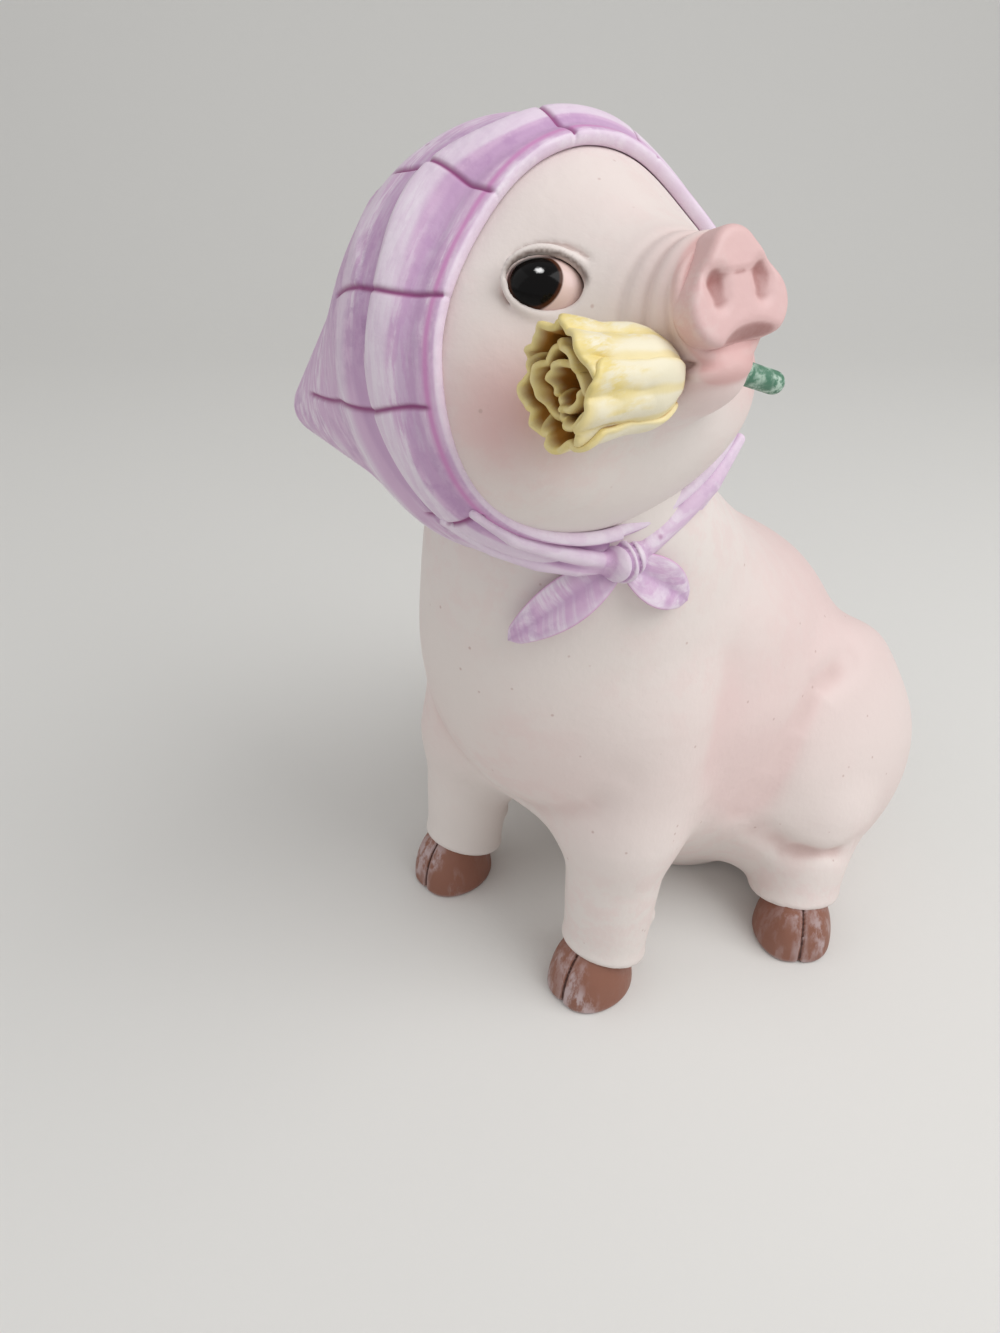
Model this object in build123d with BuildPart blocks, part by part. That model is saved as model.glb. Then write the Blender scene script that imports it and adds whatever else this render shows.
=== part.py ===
from build123d import *
from math import cos, radians, sin, sqrt
import os

os.makedirs("parts", exist_ok=True)

# A seated pig figurine in painted cast resin. The hollow torso carries glued legs, hooves, a tail
# and a head turned to the pig's left. A tied kerchief covers the head, and the mouth holds a rose.
# The origin is the middle of the seat on the floor. The chest faces -Y and the pig's left is +X.
# Lengths are in millimetres and angles in degrees.

# Fits shared by the glued joints, and whole turns
glue_gap = 0.1
overrun = 6.0
half_turn = 180.0
full_turn = 360.0

# Torso, a stack of level ellipses from the seat to a neck that takes its size from the head
torso_height = 140.0
torso_depth = 136.0
torso_half_width = 46.0
neck_shift = 4.5
shell_wall = 6.0
station_height_shares = (0, 0.057, 0.143, 0.25, 0.357, 0.5, 0.643, 0.786, 0.929, 1)
station_front_shares = (-0.176, -0.228, -0.309, -0.426, -0.522, -0.603, -0.64, -0.608, -0.534, -0.496)
station_back_shares = (0.176, 0.25, 0.316, 0.353, 0.36, 0.316, 0.199, -0.117, -0.407, -0.496)
station_width_shares = (0.565, 0.696, 0.848, 0.957, 1, 0.978, 0.891, 0.618, 0.201, 0)
neck_shift_shares = (0, 0, 0, 0, 0, 0, 0, 0.2, 0.7, 1)
neck_front_shares = (0, 0, 0, 0, 0, 0, 0, -0.107, -0.345, -0.49)
neck_back_shares = (0, 0, 0, 0, 0, 0, 0, 0.364, 0.797, 0.885)
neck_width_shares = (0, 0, 0, 0, 0, 0, 0, 0.2, 0.608, 0.777)
cavity_low_share = 0.057
cavity_high_share = 0.786
spigot_radius = 11.0
spigot_reach = 10.0
spigot_y_share = -0.46

# Stopper in the fill hole of the seat
plug_radius = 10.0
plug_flange_radius = 13.0
plug_flange_height = 2.0

# Feet: where the hooves stand, and how far the hind ones turn out
front_foot_x_share = 0.587
front_foot_y_share = -0.493
hind_foot_x_share = 1.196
hind_foot_y_share = -0.11
hind_turn = 45.0

# Cloven hoof, standing a little ahead of the leg that it is pegged to
hoof_length = 24.0
hoof_width = 22.4
hoof_height = 18.0
hoof_lead = 5.0
coronet_height = 11.0
coronet_slope = 20.0
hoof_height_shares = (0, 0.3, 1)
hoof_size_shares = (0.93, 1, 0.82)
cleft_width = 2.4
cleft_depth = 9.0
cleft_height_share = 0.78
hoof_peg_radius = 4.0
hoof_peg_length = 9.0

# Front legs, round columns that run up into the shoulders
ankle_radius = 10.6
knee_radius = 13.0
shoulder_radius = 16.0
ankle_height = 20.0
knee_place_shares = (0.565, -0.426, 0.357)
shoulder_place_shares = (0.457, -0.382, 0.571)
leg_peg_radius = 5.0
leg_peg_low_share = 0.27
leg_peg_high_share = 0.45
dewclaw_radius = 2.4
dewclaw_height = 21.0
dewclaw_spread = 40.0

# Hind legs, a broad haunch and a short shank
haunch_half_width = 17.0
haunch_half_depth = 34.0
haunch_half_height = 40.0
haunch_lift = 0.5
haunch_height_shares = (-0.98, -0.9, -0.7, -0.4, 0, 0.4, 0.7, 0.9, 0.98)
haunch_place_shares = (0.815, 0.066)
shank_radius = 11.0
shank_top_radius = 12.5
shank_top_place_shares = (1.05, -0.015, 0.25)
haunch_peg_length = 14.0

# Curled tail on the rump
tail_radius = 2.6
tail_ball_radius = 2.5
tail_curl_radius = 5.5
tail_pitch = 6.5
tail_turns = 1.3
tail_height_share = 0.3
tail_peg_radius = 2.0
tail_peg_length = 9.0
tail_peg_share = 0.07

# Head: a ball turned to the left and tilted up, with a ringed muzzle
face_yaw = 80.0
face_pitch = 22.0
head_radius = 35.5
skull_length_share = 0.972
skull_lead_share = 0.028
head_y_share = -0.496
head_rise_share = 0.606
skull_angles = (180.0, 150.0, 52.0, 28.0)
muzzle_length_share = 1.366
muzzle_root_share = 1.07
muzzle_root_radius_share = 0.332
muzzle_tip_radius_share = 0.231
ring_end_shares = (0.333, 0.667, 1)
ring_height = 0.7
lip_size_shares = (0.268, 0.225, 0.169)
lip_place_shares = (0.8, -0.95)

# Snout, a rounded triangle with two nostrils and a notched lower edge
snout_lobe_radius = 5.2
snout_top_radius = 4.6
snout_half_width = 9.4
snout_half_height = 8.0
snout_lift_share = 0.056
snout_thickness = 4.0
snout_round = 1.4
snout_peg_radius = 4.0
snout_peg_length = 7.0
nostril_half_width = 1.3
nostril_half_height = 2.1
nostril_depth = 2.2
nostril_place_share = 0.4
notch_width = 3.4
notch_depth = 1.8

# Glossy inset eyes with a raised lid round each
eye_radius = 6.2
eye_dome_radius = 8.0
eye_side_height = 3.4
eye_proud = 1.2
eye_direction_shares = (0.85, 0.5, 0.18)
lid_radius = 1.3

# Kerchief: a hood with rolled bands round the face, pointed out at each side behind
hood_pitch = 14.0
hood_wall = 2.5
hood_ridge_height = 1.6
opening_share = 0.574
first_band_share = 0.329
second_band_share = 0.039
hood_back_share = 0.7
pole_angle = 3.0
point_root_share = 0.474
point_root_radius_share = 0.868
point_tip_share = 1.408
point_tip_radius = 2.6
point_direction_shares = (-0.783, 0.617, -0.073)

# Knot under the chin and its two loose ends
knot_half_length = 5.2
knot_half_width = 4.4
knot_half_height = 4.6
knot_drop_share = 0.874
knot_angle = -30.6
knot_standoff = 0.25
end_width = 10.0
end_thickness = 3.4
end_fold_width = 1.6
long_end_drop = 17.2
long_end_angle = -67.3
long_end_standoff = 3.4
short_end_drop = 11.2
short_end_angle = -12.2
short_end_standoff = 1.7
end_tang_radius = 1.4
end_tang_length = 3.0

# Rose held across the mouth
stem_radius = 2.2
stem_round = 1.0
stem_right_shares = (1.18, -0.46, -0.21)
stem_left_shares = (1.18, 0.42, -0.33)
bloom_length = 18.5
bloom_base_radius = 3.6
bloom_cup_radius = 7.2
bloom_mouth_radius = 10.4
bloom_socket_depth = 4.0
petal_thickness = 1.3
outer_petal_turn_shares = (0, 0.2, 0.4, 0.6, 0.8)
inner_petal_turn_shares = (0, 0.25, 0.5, 0.75)
outer_petal_arc = 66.0
inner_petal_arc = 78.0
inner_ring_share = 0.58
bud_radius = 2.8
bud_length_share = 0.42
petal_root_share = 0.25
petal_waist_share = 0.62


def station_share(shares, height_share):
    """Value of one station table at a share of the torso's height."""
    steps = list(zip(station_height_shares, shares))
    for (low, low_share), (high, high_share) in zip(steps, steps[1:]):
        if low <= height_share <= high:
            return low_share + (high_share - low_share) * (height_share - low) / (high - low)


def torso_ring(height_share):
    """Middle, half width and half depth of the torso's level ellipse at a share of its height."""
    front = torso_depth * station_share(station_front_shares, height_share)
    back = torso_depth * station_share(station_back_shares, height_share)
    half_width = torso_half_width * station_share(station_width_shares, height_share)
    front += head_radius * station_share(neck_front_shares, height_share)
    back += head_radius * station_share(neck_back_shares, height_share)
    half_width += head_radius * station_share(neck_width_shares, height_share)
    shift = neck_shift * station_share(neck_shift_shares, height_share)
    return Vector(shift, (front + back) / 2, torso_height * height_share), half_width, (back - front) / 2


def torso_form(grow, low_share, high_share):
    """Lofted torso between two of its stations, with every half axis grown by one amount."""
    with BuildPart() as form:
        for height_share in station_height_shares:
            if low_share <= height_share <= high_share:
                middle, half_width, half_depth = torso_ring(height_share)
                with BuildSketch(Plane(origin=middle)):
                    Ellipse(half_width + grow, half_depth + grow)
        loft()
    return form.part


def chest_point(height, angle, standoff):
    """Point off the torso's surface at a height, at an angle from the pig's left about the torso."""
    middle, half_width, half_depth = torso_ring(height / torso_height)
    along, across = sin(radians(angle)), cos(radians(angle))
    return middle + Vector(across * (half_width + standoff), along * (half_depth + standoff), 0)


def rod(start, end, start_radius, end_radius):
    """Round rod or cone between two points."""
    run = end - start
    with BuildPart() as form:
        with BuildSketch(Plane(origin=start, z_dir=run)):
            Circle(start_radius)
        with BuildSketch(Plane(origin=end, z_dir=run)):
            Circle(end_radius)
        loft()
    return form.part


def ball(plane, half_x, half_y, half_z):
    """Ellipsoid on a plane, a unit ball scaled along that plane's axes."""
    with BuildPart() as form:
        Sphere(1)
        scale(by=(half_x, half_y, half_z))
    return plane.location * form.part


def body_point(x_share, y_share, z_share, side):
    """Point given as shares of the torso's sizes, on the pig's left (1) or right (-1)."""
    return Vector(side * torso_half_width * x_share, torso_depth * y_share, torso_height * z_share)


def turned_frame(pitch):
    """Frame at the head's middle: X out of the face, Y to the pig's left, Z to the crown."""
    yaw, tilt = radians(face_yaw), radians(pitch)
    ahead = Vector(sin(yaw) * cos(tilt), -cos(yaw) * cos(tilt), sin(tilt))
    crown = Vector(-sin(yaw) * sin(tilt), cos(yaw) * sin(tilt), cos(tilt))
    return Plane(origin=head_centre, x_dir=ahead, z_dir=crown)


def place(frame, shares, side=1):
    """Point in a head frame, given as shares of the head's radius."""
    ahead, left, up = shares
    return frame.from_local_coords((head_radius * ahead, side * head_radius * left, head_radius * up))


def keep(part, name):
    """Label a finished piece and write it as a node of its own."""
    part.label = name
    export_step(part, f"parts/{name}.step")


# Frames and shared forms
sides = (("left", 1), ("right", -1))
skull_half_length = head_radius * skull_length_share
skull_lead = head_radius * skull_lead_share
muzzle_length = head_radius * muzzle_length_share
muzzle_root = head_radius * muzzle_root_share
muzzle_root_radius = head_radius * muzzle_root_radius_share
muzzle_tip_radius = head_radius * muzzle_tip_radius_share
hood_radius = head_radius + hood_wall
head_centre = Vector(neck_shift, torso_depth * head_y_share, torso_height + head_radius * head_rise_share)
head_frame = turned_frame(face_pitch)
hood_frame = turned_frame(hood_pitch)
head_profile = Plane(origin=head_centre, x_dir=head_frame.x_dir, z_dir=-head_frame.y_dir)
hood_profile = Plane(origin=head_centre, x_dir=hood_frame.x_dir, z_dir=-hood_frame.y_dir)
torso_solid = torso_form(0, 0, 1)
torso_envelope = torso_form(glue_gap, 0, 1)
torso_cavity = torso_form(-shell_wall, cavity_low_share, cavity_high_share)
cavity_floor = torso_height * cavity_low_share
with BuildPart() as skull_form:
    with BuildSketch(head_profile):
        with BuildLine():
            outline = EllipticalCenterArc((skull_lead, 0), skull_half_length + glue_gap,
                                          head_radius + glue_gap, start_angle=pole_angle,
                                          arc_size=half_turn - 2 * pole_angle)
            front_pole, back_pole = outline @ 0, outline @ 1
            Polyline(back_pole, (back_pole.X, 0), (front_pole.X, 0), front_pole)
        make_face()
    revolve(axis=Axis(head_centre, head_frame.x_dir))
skull_envelope = skull_form.part

# Feet: the frame of each hoof, and the point where its leg stands on it
feet = {}
for side_name, side in sides:
    front = body_point(front_foot_x_share, front_foot_y_share, 0, side)
    hind = body_point(hind_foot_x_share, hind_foot_y_share, 0, side)
    feet[f"front_{side_name}"] = Plane(origin=front)
    feet[f"hind_{side_name}"] = Plane(origin=hind).rotated((0, 0, side * hind_turn))
coronet_planes = {}
ankles = {}
for foot, frame in feet.items():
    ankles[foot] = frame.from_local_coords((0, hoof_lead, 0))
    lifted = Plane(origin=ankles[foot] + Vector(0, 0, coronet_height), x_dir=frame.x_dir)
    coronet_planes[foot] = Plane(lifted.location * Rotation(-coronet_slope, 0, 0))

# Pegs and sockets of the glued joints, each pair worked out from one set of values
def front_leg_axis(side_name, height):
    """Point at a height on the line from a front leg's ankle through its knee."""
    ankle = ankles[f"front_{side_name}"]
    knee = body_point(*knee_place_shares, dict(sides)[side_name])
    reach = (height - ankle_height) / (knee.Z - ankle_height)
    return Vector(ankle.X + (knee.X - ankle.X) * reach, ankle.Y + (knee.Y - ankle.Y) * reach, height)


def leg_peg(side_name, grow):
    """Peg along a front leg's axis, from inside the leg through the torso's wall."""
    low = front_leg_axis(side_name, torso_height * leg_peg_low_share)
    high = front_leg_axis(side_name, torso_height * leg_peg_high_share + grow)
    return rod(low, high, leg_peg_radius + grow, leg_peg_radius + grow)


def haunch_peg(side, grow):
    """Level peg from inside a haunch through the torso's wall."""
    outer = Vector(side * torso_half_width, torso_depth * haunch_place_shares[1], haunch_half_height)
    inner = outer - Vector(side * (haunch_peg_length + grow), 0, 0)
    return rod(outer, inner, leg_peg_radius + grow, leg_peg_radius + grow)


def hoof_peg(foot, grow):
    """Upright peg from a hoof into its leg."""
    foot_top = ankles[foot] + Vector(0, 0, coronet_height)
    peg_top = foot_top + Vector(0, 0, hoof_peg_length + grow)
    peg_foot = foot_top - Vector(0, 0, hoof_peg_length / 2)
    return rod(peg_foot, peg_top, hoof_peg_radius + grow, hoof_peg_radius + grow)


def eye_plane(side, lift):
    """Plane facing out of one eye, lifted along the eye's axis from the head's middle."""
    ahead, left, up = eye_direction_shares
    outward = (head_frame.from_local_coords((ahead, side * left, up)) - head_centre).normalized()
    return Plane(origin=head_centre + outward * lift, z_dir=outward)


spigot_foot = Vector(neck_shift, torso_depth * spigot_y_share,
                     torso_height * cavity_high_share + shell_wall)
spigot_top = Vector(spigot_foot.X, spigot_foot.Y, head_centre.Z - head_radius + spigot_reach)
neck_spigot = rod(spigot_foot, spigot_top, spigot_radius, spigot_radius)
neck_socket = rod(spigot_foot, spigot_top + Vector(0, 0, glue_gap), spigot_radius + glue_gap,
                  spigot_radius + glue_gap)
leg_pegs = {name: leg_peg(name, 0) for name, side in sides}
leg_sockets = {name: leg_peg(name, glue_gap) for name, side in sides}
haunch_pegs = {name: haunch_peg(side, 0) for name, side in sides}
haunch_sockets = {name: haunch_peg(side, glue_gap) for name, side in sides}
hoof_pegs = {foot: hoof_peg(foot, 0) for foot in feet}
hoof_sockets = {foot: hoof_peg(foot, glue_gap) for foot in feet}
tail_seat = torso_depth * max(station_back_shares) + tail_radius + glue_gap
tail_centre = Vector(0, tail_seat, torso_height * tail_height_share)
with BuildLine() as tail_curl:
    Helix(tail_pitch, tail_pitch * tail_turns, tail_curl_radius, center=tail_centre, direction=(0, 1, 0))
tail_root = tail_curl.line @ tail_peg_share
tail_peg = rod(tail_root, tail_root - Vector(0, tail_peg_length, 0), tail_peg_radius, tail_peg_radius)
tail_socket = rod(tail_root, tail_root - Vector(0, tail_peg_length + glue_gap, 0), tail_peg_radius + glue_gap,
                  tail_peg_radius + glue_gap)
stem_right = place(head_frame, stem_right_shares)
stem_left = place(head_frame, stem_left_shares)
stem_run = (stem_left - stem_right).normalized()
stem_bore = rod(stem_right, stem_left + stem_run * overrun, stem_radius + glue_gap, stem_radius + glue_gap)
snout_middle = head_frame.from_local_coords((muzzle_length, 0, head_radius * snout_lift_share))
snout_plane = Plane(origin=snout_middle, x_dir=head_frame.y_dir, z_dir=head_frame.x_dir)

# Torso: hollow shell with a cupped neck, a spigot for the head, and a stepped fill hole
with BuildPart() as torso:
    add(torso_solid)
    add(torso_cavity, mode=Mode.SUBTRACT)
    add(skull_envelope, mode=Mode.SUBTRACT)
    add(neck_spigot)
    with BuildSketch():
        Circle(plug_radius + glue_gap)
    extrude(amount=cavity_floor + overrun, mode=Mode.SUBTRACT)
    with BuildSketch():
        Circle(plug_flange_radius + glue_gap)
    extrude(amount=plug_flange_height + glue_gap, mode=Mode.SUBTRACT)
    for side_name, side in sides:
        add(leg_sockets[side_name], mode=Mode.SUBTRACT)
        add(haunch_sockets[side_name], mode=Mode.SUBTRACT)
    add(tail_socket, mode=Mode.SUBTRACT)
keep(torso.part, "torso")

# Stopper of the fill hole, flush with the seat
with BuildPart() as base_plug:
    with BuildSketch():
        Circle(plug_flange_radius)
    extrude(amount=plug_flange_height)
    with BuildSketch(Plane.XY.offset(plug_flange_height)):
        Circle(plug_radius)
    extrude(amount=cavity_floor - plug_flange_height)
keep(base_plug.part, "base_plug")

# Hooves: a tapered foot cut off on the slanted coronet, cloven in front, with a peg on top
hoof_envelopes = {}
for foot, frame in feet.items():
    with BuildPart() as hoof:
        for height_share, size_share in zip(hoof_height_shares, hoof_size_shares):
            with BuildSketch(frame.offset(hoof_height * height_share)):
                with Locations((0, hoof_lead * height_share)):
                    Ellipse(hoof_width / 2 * size_share, hoof_length / 2 * size_share)
        loft()
        split(bisect_by=coronet_planes[foot], keep=Keep.BOTTOM)
        hoof_envelopes[foot] = offset(hoof.part, amount=glue_gap, mode=Mode.PRIVATE)
        with BuildSketch(frame):
            with BuildLine():
                Polyline((-cleft_width / 2, -hoof_length), (cleft_width / 2, -hoof_length),
                         (cleft_width / 2, -hoof_length / 2), (0, cleft_depth - hoof_length / 2),
                         (-cleft_width / 2, -hoof_length / 2), close=True)
            make_face()
        extrude(amount=hoof_height * cleft_height_share, mode=Mode.SUBTRACT)
        add(hoof_pegs[foot])
    keep(hoof.part, f"{foot}_hoof")

# Front legs: columns fitted to the shoulders, with two dewclaws behind each ankle
ankle = ankles["front_left"]
ankle_top = ankle + Vector(0, 0, ankle_height)
with BuildPart() as front_leg_left:
    for middle, radius in ((ankle, ankle_radius), (ankle_top, ankle_radius),
                           (body_point(*knee_place_shares, 1), knee_radius),
                           (body_point(*shoulder_place_shares, 1), shoulder_radius)):
        with BuildSketch(Plane(origin=middle)):
            Circle(radius)
    loft()
    split(bisect_by=coronet_planes["front_left"].offset(glue_gap), keep=Keep.TOP)
    for angle in (-dewclaw_spread, dewclaw_spread):
        nub = Vector(sin(radians(angle)) * ankle_radius, cos(radians(angle)) * ankle_radius, dewclaw_height)
        with Locations(ankle + nub):
            Sphere(dewclaw_radius)
    add(torso_envelope, mode=Mode.SUBTRACT)
    add(leg_pegs["left"])
    add(hoof_sockets["front_left"], mode=Mode.SUBTRACT)
keep(front_leg_left.part, "front_leg_left")
with BuildPart() as front_leg_right:
    mirror(front_leg_left.part, about=Plane.YZ)
keep(front_leg_right.part, "front_leg_right")

# Hind legs: a haunch fitted to the flank and a shank that stands on the hoof
haunch_x, haunch_y = haunch_place_shares
hip = body_point(haunch_x, haunch_y, 0, 1) + Vector(0, 0, haunch_half_height + haunch_lift)
with BuildPart() as haunch:
    for height_share in haunch_height_shares:
        girth_share = sqrt(1 - height_share ** 2)
        with BuildSketch(Plane(origin=hip + Vector(0, 0, haunch_half_height * height_share))):
            Ellipse(haunch_half_width * girth_share, haunch_half_depth * girth_share)
    loft()
with BuildPart() as hind_leg_left:
    for middle, radius in ((ankles["hind_left"], shank_radius),
                           (ankles["hind_left"] + Vector(0, 0, ankle_height), shank_radius),
                           (body_point(*shank_top_place_shares, 1), shank_top_radius)):
        with BuildSketch(Plane(origin=middle)):
            Circle(radius)
    loft()
    split(bisect_by=coronet_planes["hind_left"].offset(glue_gap), keep=Keep.TOP)
    add(haunch.part)
    add(torso_envelope, mode=Mode.SUBTRACT)
    add(hoof_envelopes["hind_left"], mode=Mode.SUBTRACT)
    add(haunch_pegs["left"])
    add(hoof_sockets["hind_left"], mode=Mode.SUBTRACT)
keep(hind_leg_left.part, "hind_leg_left")
with BuildPart() as hind_leg_right:
    mirror(hind_leg_left.part, about=Plane.YZ)
keep(hind_leg_right.part, "hind_leg_right")

# Tail: a short helix with a rounded tip, pegged into the rump
with BuildPart() as tail:
    with BuildSketch(Plane(origin=tail_curl.line @ 0, z_dir=tail_curl.line % 0)):
        Circle(tail_radius)
    sweep(path=tail_curl.line, is_frenet=True)
    with Locations(tail_curl.line @ 0, tail_curl.line @ 1):
        Sphere(tail_ball_radius)
    add(tail_peg)
keep(tail.part, "tail")

# Head: skull and ringed muzzle turned about the face's axis, a lower lip, and lids round the eye sockets
dome_height = eye_dome_radius - sqrt(eye_dome_radius ** 2 - eye_radius ** 2)
eye_depth = eye_side_height + dome_height
lid_ring = eye_radius + lid_radius / 2
lid_lift = sqrt(head_radius ** 2 - lid_ring ** 2)
ring_run = Vector(muzzle_length - muzzle_root, muzzle_tip_radius - muzzle_root_radius)
lip_ahead_share, lip_up_share = lip_place_shares
lip_length_share, lip_width_share, lip_height_share = lip_size_shares
lip_ahead = muzzle_length * lip_ahead_share
lip_middle = head_frame.from_local_coords((lip_ahead, 0, muzzle_tip_radius * lip_up_share))
lip = ball(Plane(origin=lip_middle, x_dir=head_frame.x_dir, z_dir=head_frame.z_dir),
           head_radius * lip_length_share, head_radius * lip_width_share, head_radius * lip_height_share)
with BuildPart() as head:
    with BuildSketch(head_profile):
        with BuildLine():
            for start, end in zip(skull_angles, skull_angles[1:]):
                skull = EllipticalCenterArc((skull_lead, 0), skull_half_length, head_radius,
                                            start_angle=start, arc_size=end - start)
            first_ring = Vector(muzzle_root, muzzle_root_radius)
            ring_end = first_ring
            Spline(skull @ 1, ring_end, tangents=(skull % 1, (1, 0)))
            for end_share in ring_end_shares:
                ring_start = ring_end
                ring_end = first_ring + ring_run * end_share
                crest = (ring_start + ring_end) / 2 + Vector(0, ring_height)
                ThreePointArc(ring_start, crest, ring_end)
            Polyline(ring_end, (muzzle_length, 0), (skull_lead - skull_half_length, 0))
        make_face()
    revolve(axis=Axis(head_centre, head_frame.x_dir))
    add(lip)
    for side_name, side in sides:
        with Locations(eye_plane(side, lid_lift)):
            Torus(lid_ring, lid_radius)
    for side_name, side in sides:
        with BuildSketch(eye_plane(side, head_radius + eye_proud - eye_depth - glue_gap)):
            Circle(eye_radius + glue_gap)
        extrude(amount=eye_depth + overrun, mode=Mode.SUBTRACT)
    with BuildSketch(snout_plane):
        Circle(snout_peg_radius + glue_gap)
    extrude(amount=-snout_peg_length - glue_gap, mode=Mode.SUBTRACT)
    add(stem_bore, mode=Mode.SUBTRACT)
    add(neck_socket, mode=Mode.SUBTRACT)
keep(head.part, "head")

# Eyes: domed discs that sit in the sockets
for side_name, side in sides:
    dome_plane = eye_plane(side, head_radius + eye_proud - eye_dome_radius)
    dome = ball(dome_plane, eye_dome_radius, eye_dome_radius, eye_dome_radius)
    with BuildPart() as eye:
        with BuildSketch(eye_plane(side, head_radius + eye_proud - eye_depth)):
            Circle(eye_radius)
        extrude(amount=eye_depth)
        add(dome, mode=Mode.INTERSECT)
    keep(eye.part, f"eye_{side_name}")

# Snout: rounded triangular disc with its nostrils and lower notch, pegged into the muzzle
with BuildPart() as snout:
    with BuildSketch(snout_plane.offset(glue_gap)):
        with Locations((snout_half_width - snout_lobe_radius, snout_lobe_radius - snout_half_height),
                       (snout_lobe_radius - snout_half_width, snout_lobe_radius - snout_half_height)):
            Circle(snout_lobe_radius)
        with Locations((0, snout_half_height - snout_top_radius)):
            Circle(snout_top_radius)
        make_hull()
    extrude(amount=snout_thickness)
    front_face = snout.faces().sort_by(Axis(head_centre, head_frame.x_dir))[-1]
    fillet(front_face.edges(), snout_round)
    with BuildSketch(snout_plane.offset(glue_gap + snout_thickness)):
        nostril_place = snout_half_width * nostril_place_share
        with Locations((nostril_place, 0), (-nostril_place, 0)):
            Ellipse(nostril_half_width, nostril_half_height)
    extrude(amount=-nostril_depth, mode=Mode.SUBTRACT)
    with BuildSketch(snout_plane.offset(glue_gap + snout_thickness)):
        with Locations((0, -snout_half_height)):
            Ellipse(notch_width / 2, notch_depth)
    extrude(amount=-snout_thickness, mode=Mode.SUBTRACT)
    with BuildSketch(snout_plane.offset(glue_gap)):
        Circle(snout_peg_radius)
    extrude(amount=-snout_peg_length)
keep(snout.part, "snout")

# Kerchief: two rolled bands and a smooth back turned about the hood's axis, with a point at each side
def hood_point(offset_along, lift):
    """Point of the hood's half outline at an offset along its axis, lifted off the hood's ball."""
    reach = (hood_radius + lift) / hood_radius
    return Vector(offset_along * reach, sqrt(hood_radius ** 2 - offset_along ** 2) * reach)


opening_offset = hood_radius * opening_share
first_band_edge = hood_radius * first_band_share
second_band_edge = hood_radius * second_band_share
hood_points = []
for side_name, side in sides:
    ahead, left, up = point_direction_shares
    outward = (hood_frame.from_local_coords((ahead, side * left, up)) - head_centre).normalized()
    point_root = head_centre + outward * hood_radius * point_root_share
    point_tip = head_centre + outward * hood_radius * point_tip_share
    hood_points.append(rod(point_root, point_tip, hood_radius * point_root_radius_share, point_tip_radius))
with BuildPart() as kerchief:
    with BuildSketch(hood_profile):
        with BuildLine():
            for near, far in ((opening_offset, first_band_edge), (first_band_edge, second_band_edge)):
                ridge = hood_point((near + far) / 2, hood_ridge_height)
                ThreePointArc(hood_point(near, 0), ridge, hood_point(far, 0))
            back_middle = hood_point(-hood_radius * hood_back_share, 0)
            back_end = hood_point(-hood_radius * cos(radians(pole_angle)), 0)
            ThreePointArc(hood_point(second_band_edge, 0), back_middle, back_end)
            Polyline(back_end, (back_end.X, 0), (opening_offset, 0), hood_point(opening_offset, 0))
        make_face()
    revolve(axis=Axis(head_centre, hood_frame.x_dir))
    for point in hood_points:
        add(point)
    add(skull_envelope, mode=Mode.SUBTRACT)
    add(torso_envelope, mode=Mode.SUBTRACT)
keep(kerchief.part, "kerchief")

# Knot and loose ends, fitted over the kerchief and clear of the chest
knot_height = head_centre.Z - hood_radius * knot_drop_share
knot_middle = chest_point(knot_height, knot_angle, knot_standoff)
knot_plane = Plane(origin=knot_middle, x_dir=head_frame.y_dir, z_dir=head_frame.z_dir)
knot_ball = ball(knot_plane, knot_half_length, knot_half_width, knot_half_height)
knot_envelope = ball(knot_plane, knot_half_length + glue_gap, knot_half_width + glue_gap,
                     knot_half_height + glue_gap)
hood_reach = hood_radius + hood_ridge_height + glue_gap
hood_envelope = ball(hood_frame, hood_reach, hood_reach, hood_reach)
chest_out = Vector(knot_middle.X - neck_shift, knot_middle.Y - spigot_foot.Y, 0).normalized()
end_tips = {"right": chest_point(knot_height - long_end_drop, long_end_angle, long_end_standoff),
            "left": chest_point(knot_height - short_end_drop, short_end_angle, short_end_standoff)}
tangs = {}
tang_sockets = {}
for side_name, tip in end_tips.items():
    along = (tip - knot_middle).normalized()
    tang_foot = knot_middle + along * (knot_half_width - end_tang_length / 2)
    tang_top = tang_foot + along * end_tang_length
    tangs[side_name] = rod(tang_foot, tang_top, end_tang_radius, end_tang_radius)
    tang_sockets[side_name] = rod(tang_foot - along * glue_gap, tang_top, end_tang_radius + glue_gap,
                                  end_tang_radius + glue_gap)
with BuildPart() as kerchief_knot:
    add(knot_ball)
    add(hood_envelope, mode=Mode.SUBTRACT)
    add(torso_envelope, mode=Mode.SUBTRACT)
    for side_name in end_tips:
        add(tang_sockets[side_name], mode=Mode.SUBTRACT)
keep(kerchief_knot.part, "kerchief_knot")

for side_name, tip in end_tips.items():
    reach = (tip - knot_middle).length
    along = (tip - knot_middle).normalized()
    leaf_plane = Plane(origin=knot_middle, x_dir=along, z_dir=chest_out - along * chest_out.dot(along))
    fold_root = knot_middle + leaf_plane.z_dir * end_thickness / 2
    fold_tip = tip + leaf_plane.z_dir * end_thickness / 2
    fold = rod(fold_root, fold_tip, end_fold_width, end_fold_width)
    with BuildPart() as kerchief_end:
        with BuildSketch(leaf_plane):
            with BuildLine():
                ThreePointArc((0, 0), (reach / 2, end_width / 2), (reach, 0))
                ThreePointArc((reach, 0), (reach / 2, -end_width / 2), (0, 0))
            make_face()
        extrude(amount=end_thickness / 2, both=True)
        add(fold, mode=Mode.SUBTRACT)
        add(knot_envelope, mode=Mode.SUBTRACT)
        add(tangs[side_name])
        add(hood_envelope, mode=Mode.SUBTRACT)
        add(torso_envelope, mode=Mode.SUBTRACT)
    keep(kerchief_end.part, f"kerchief_end_{side_name}")

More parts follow.
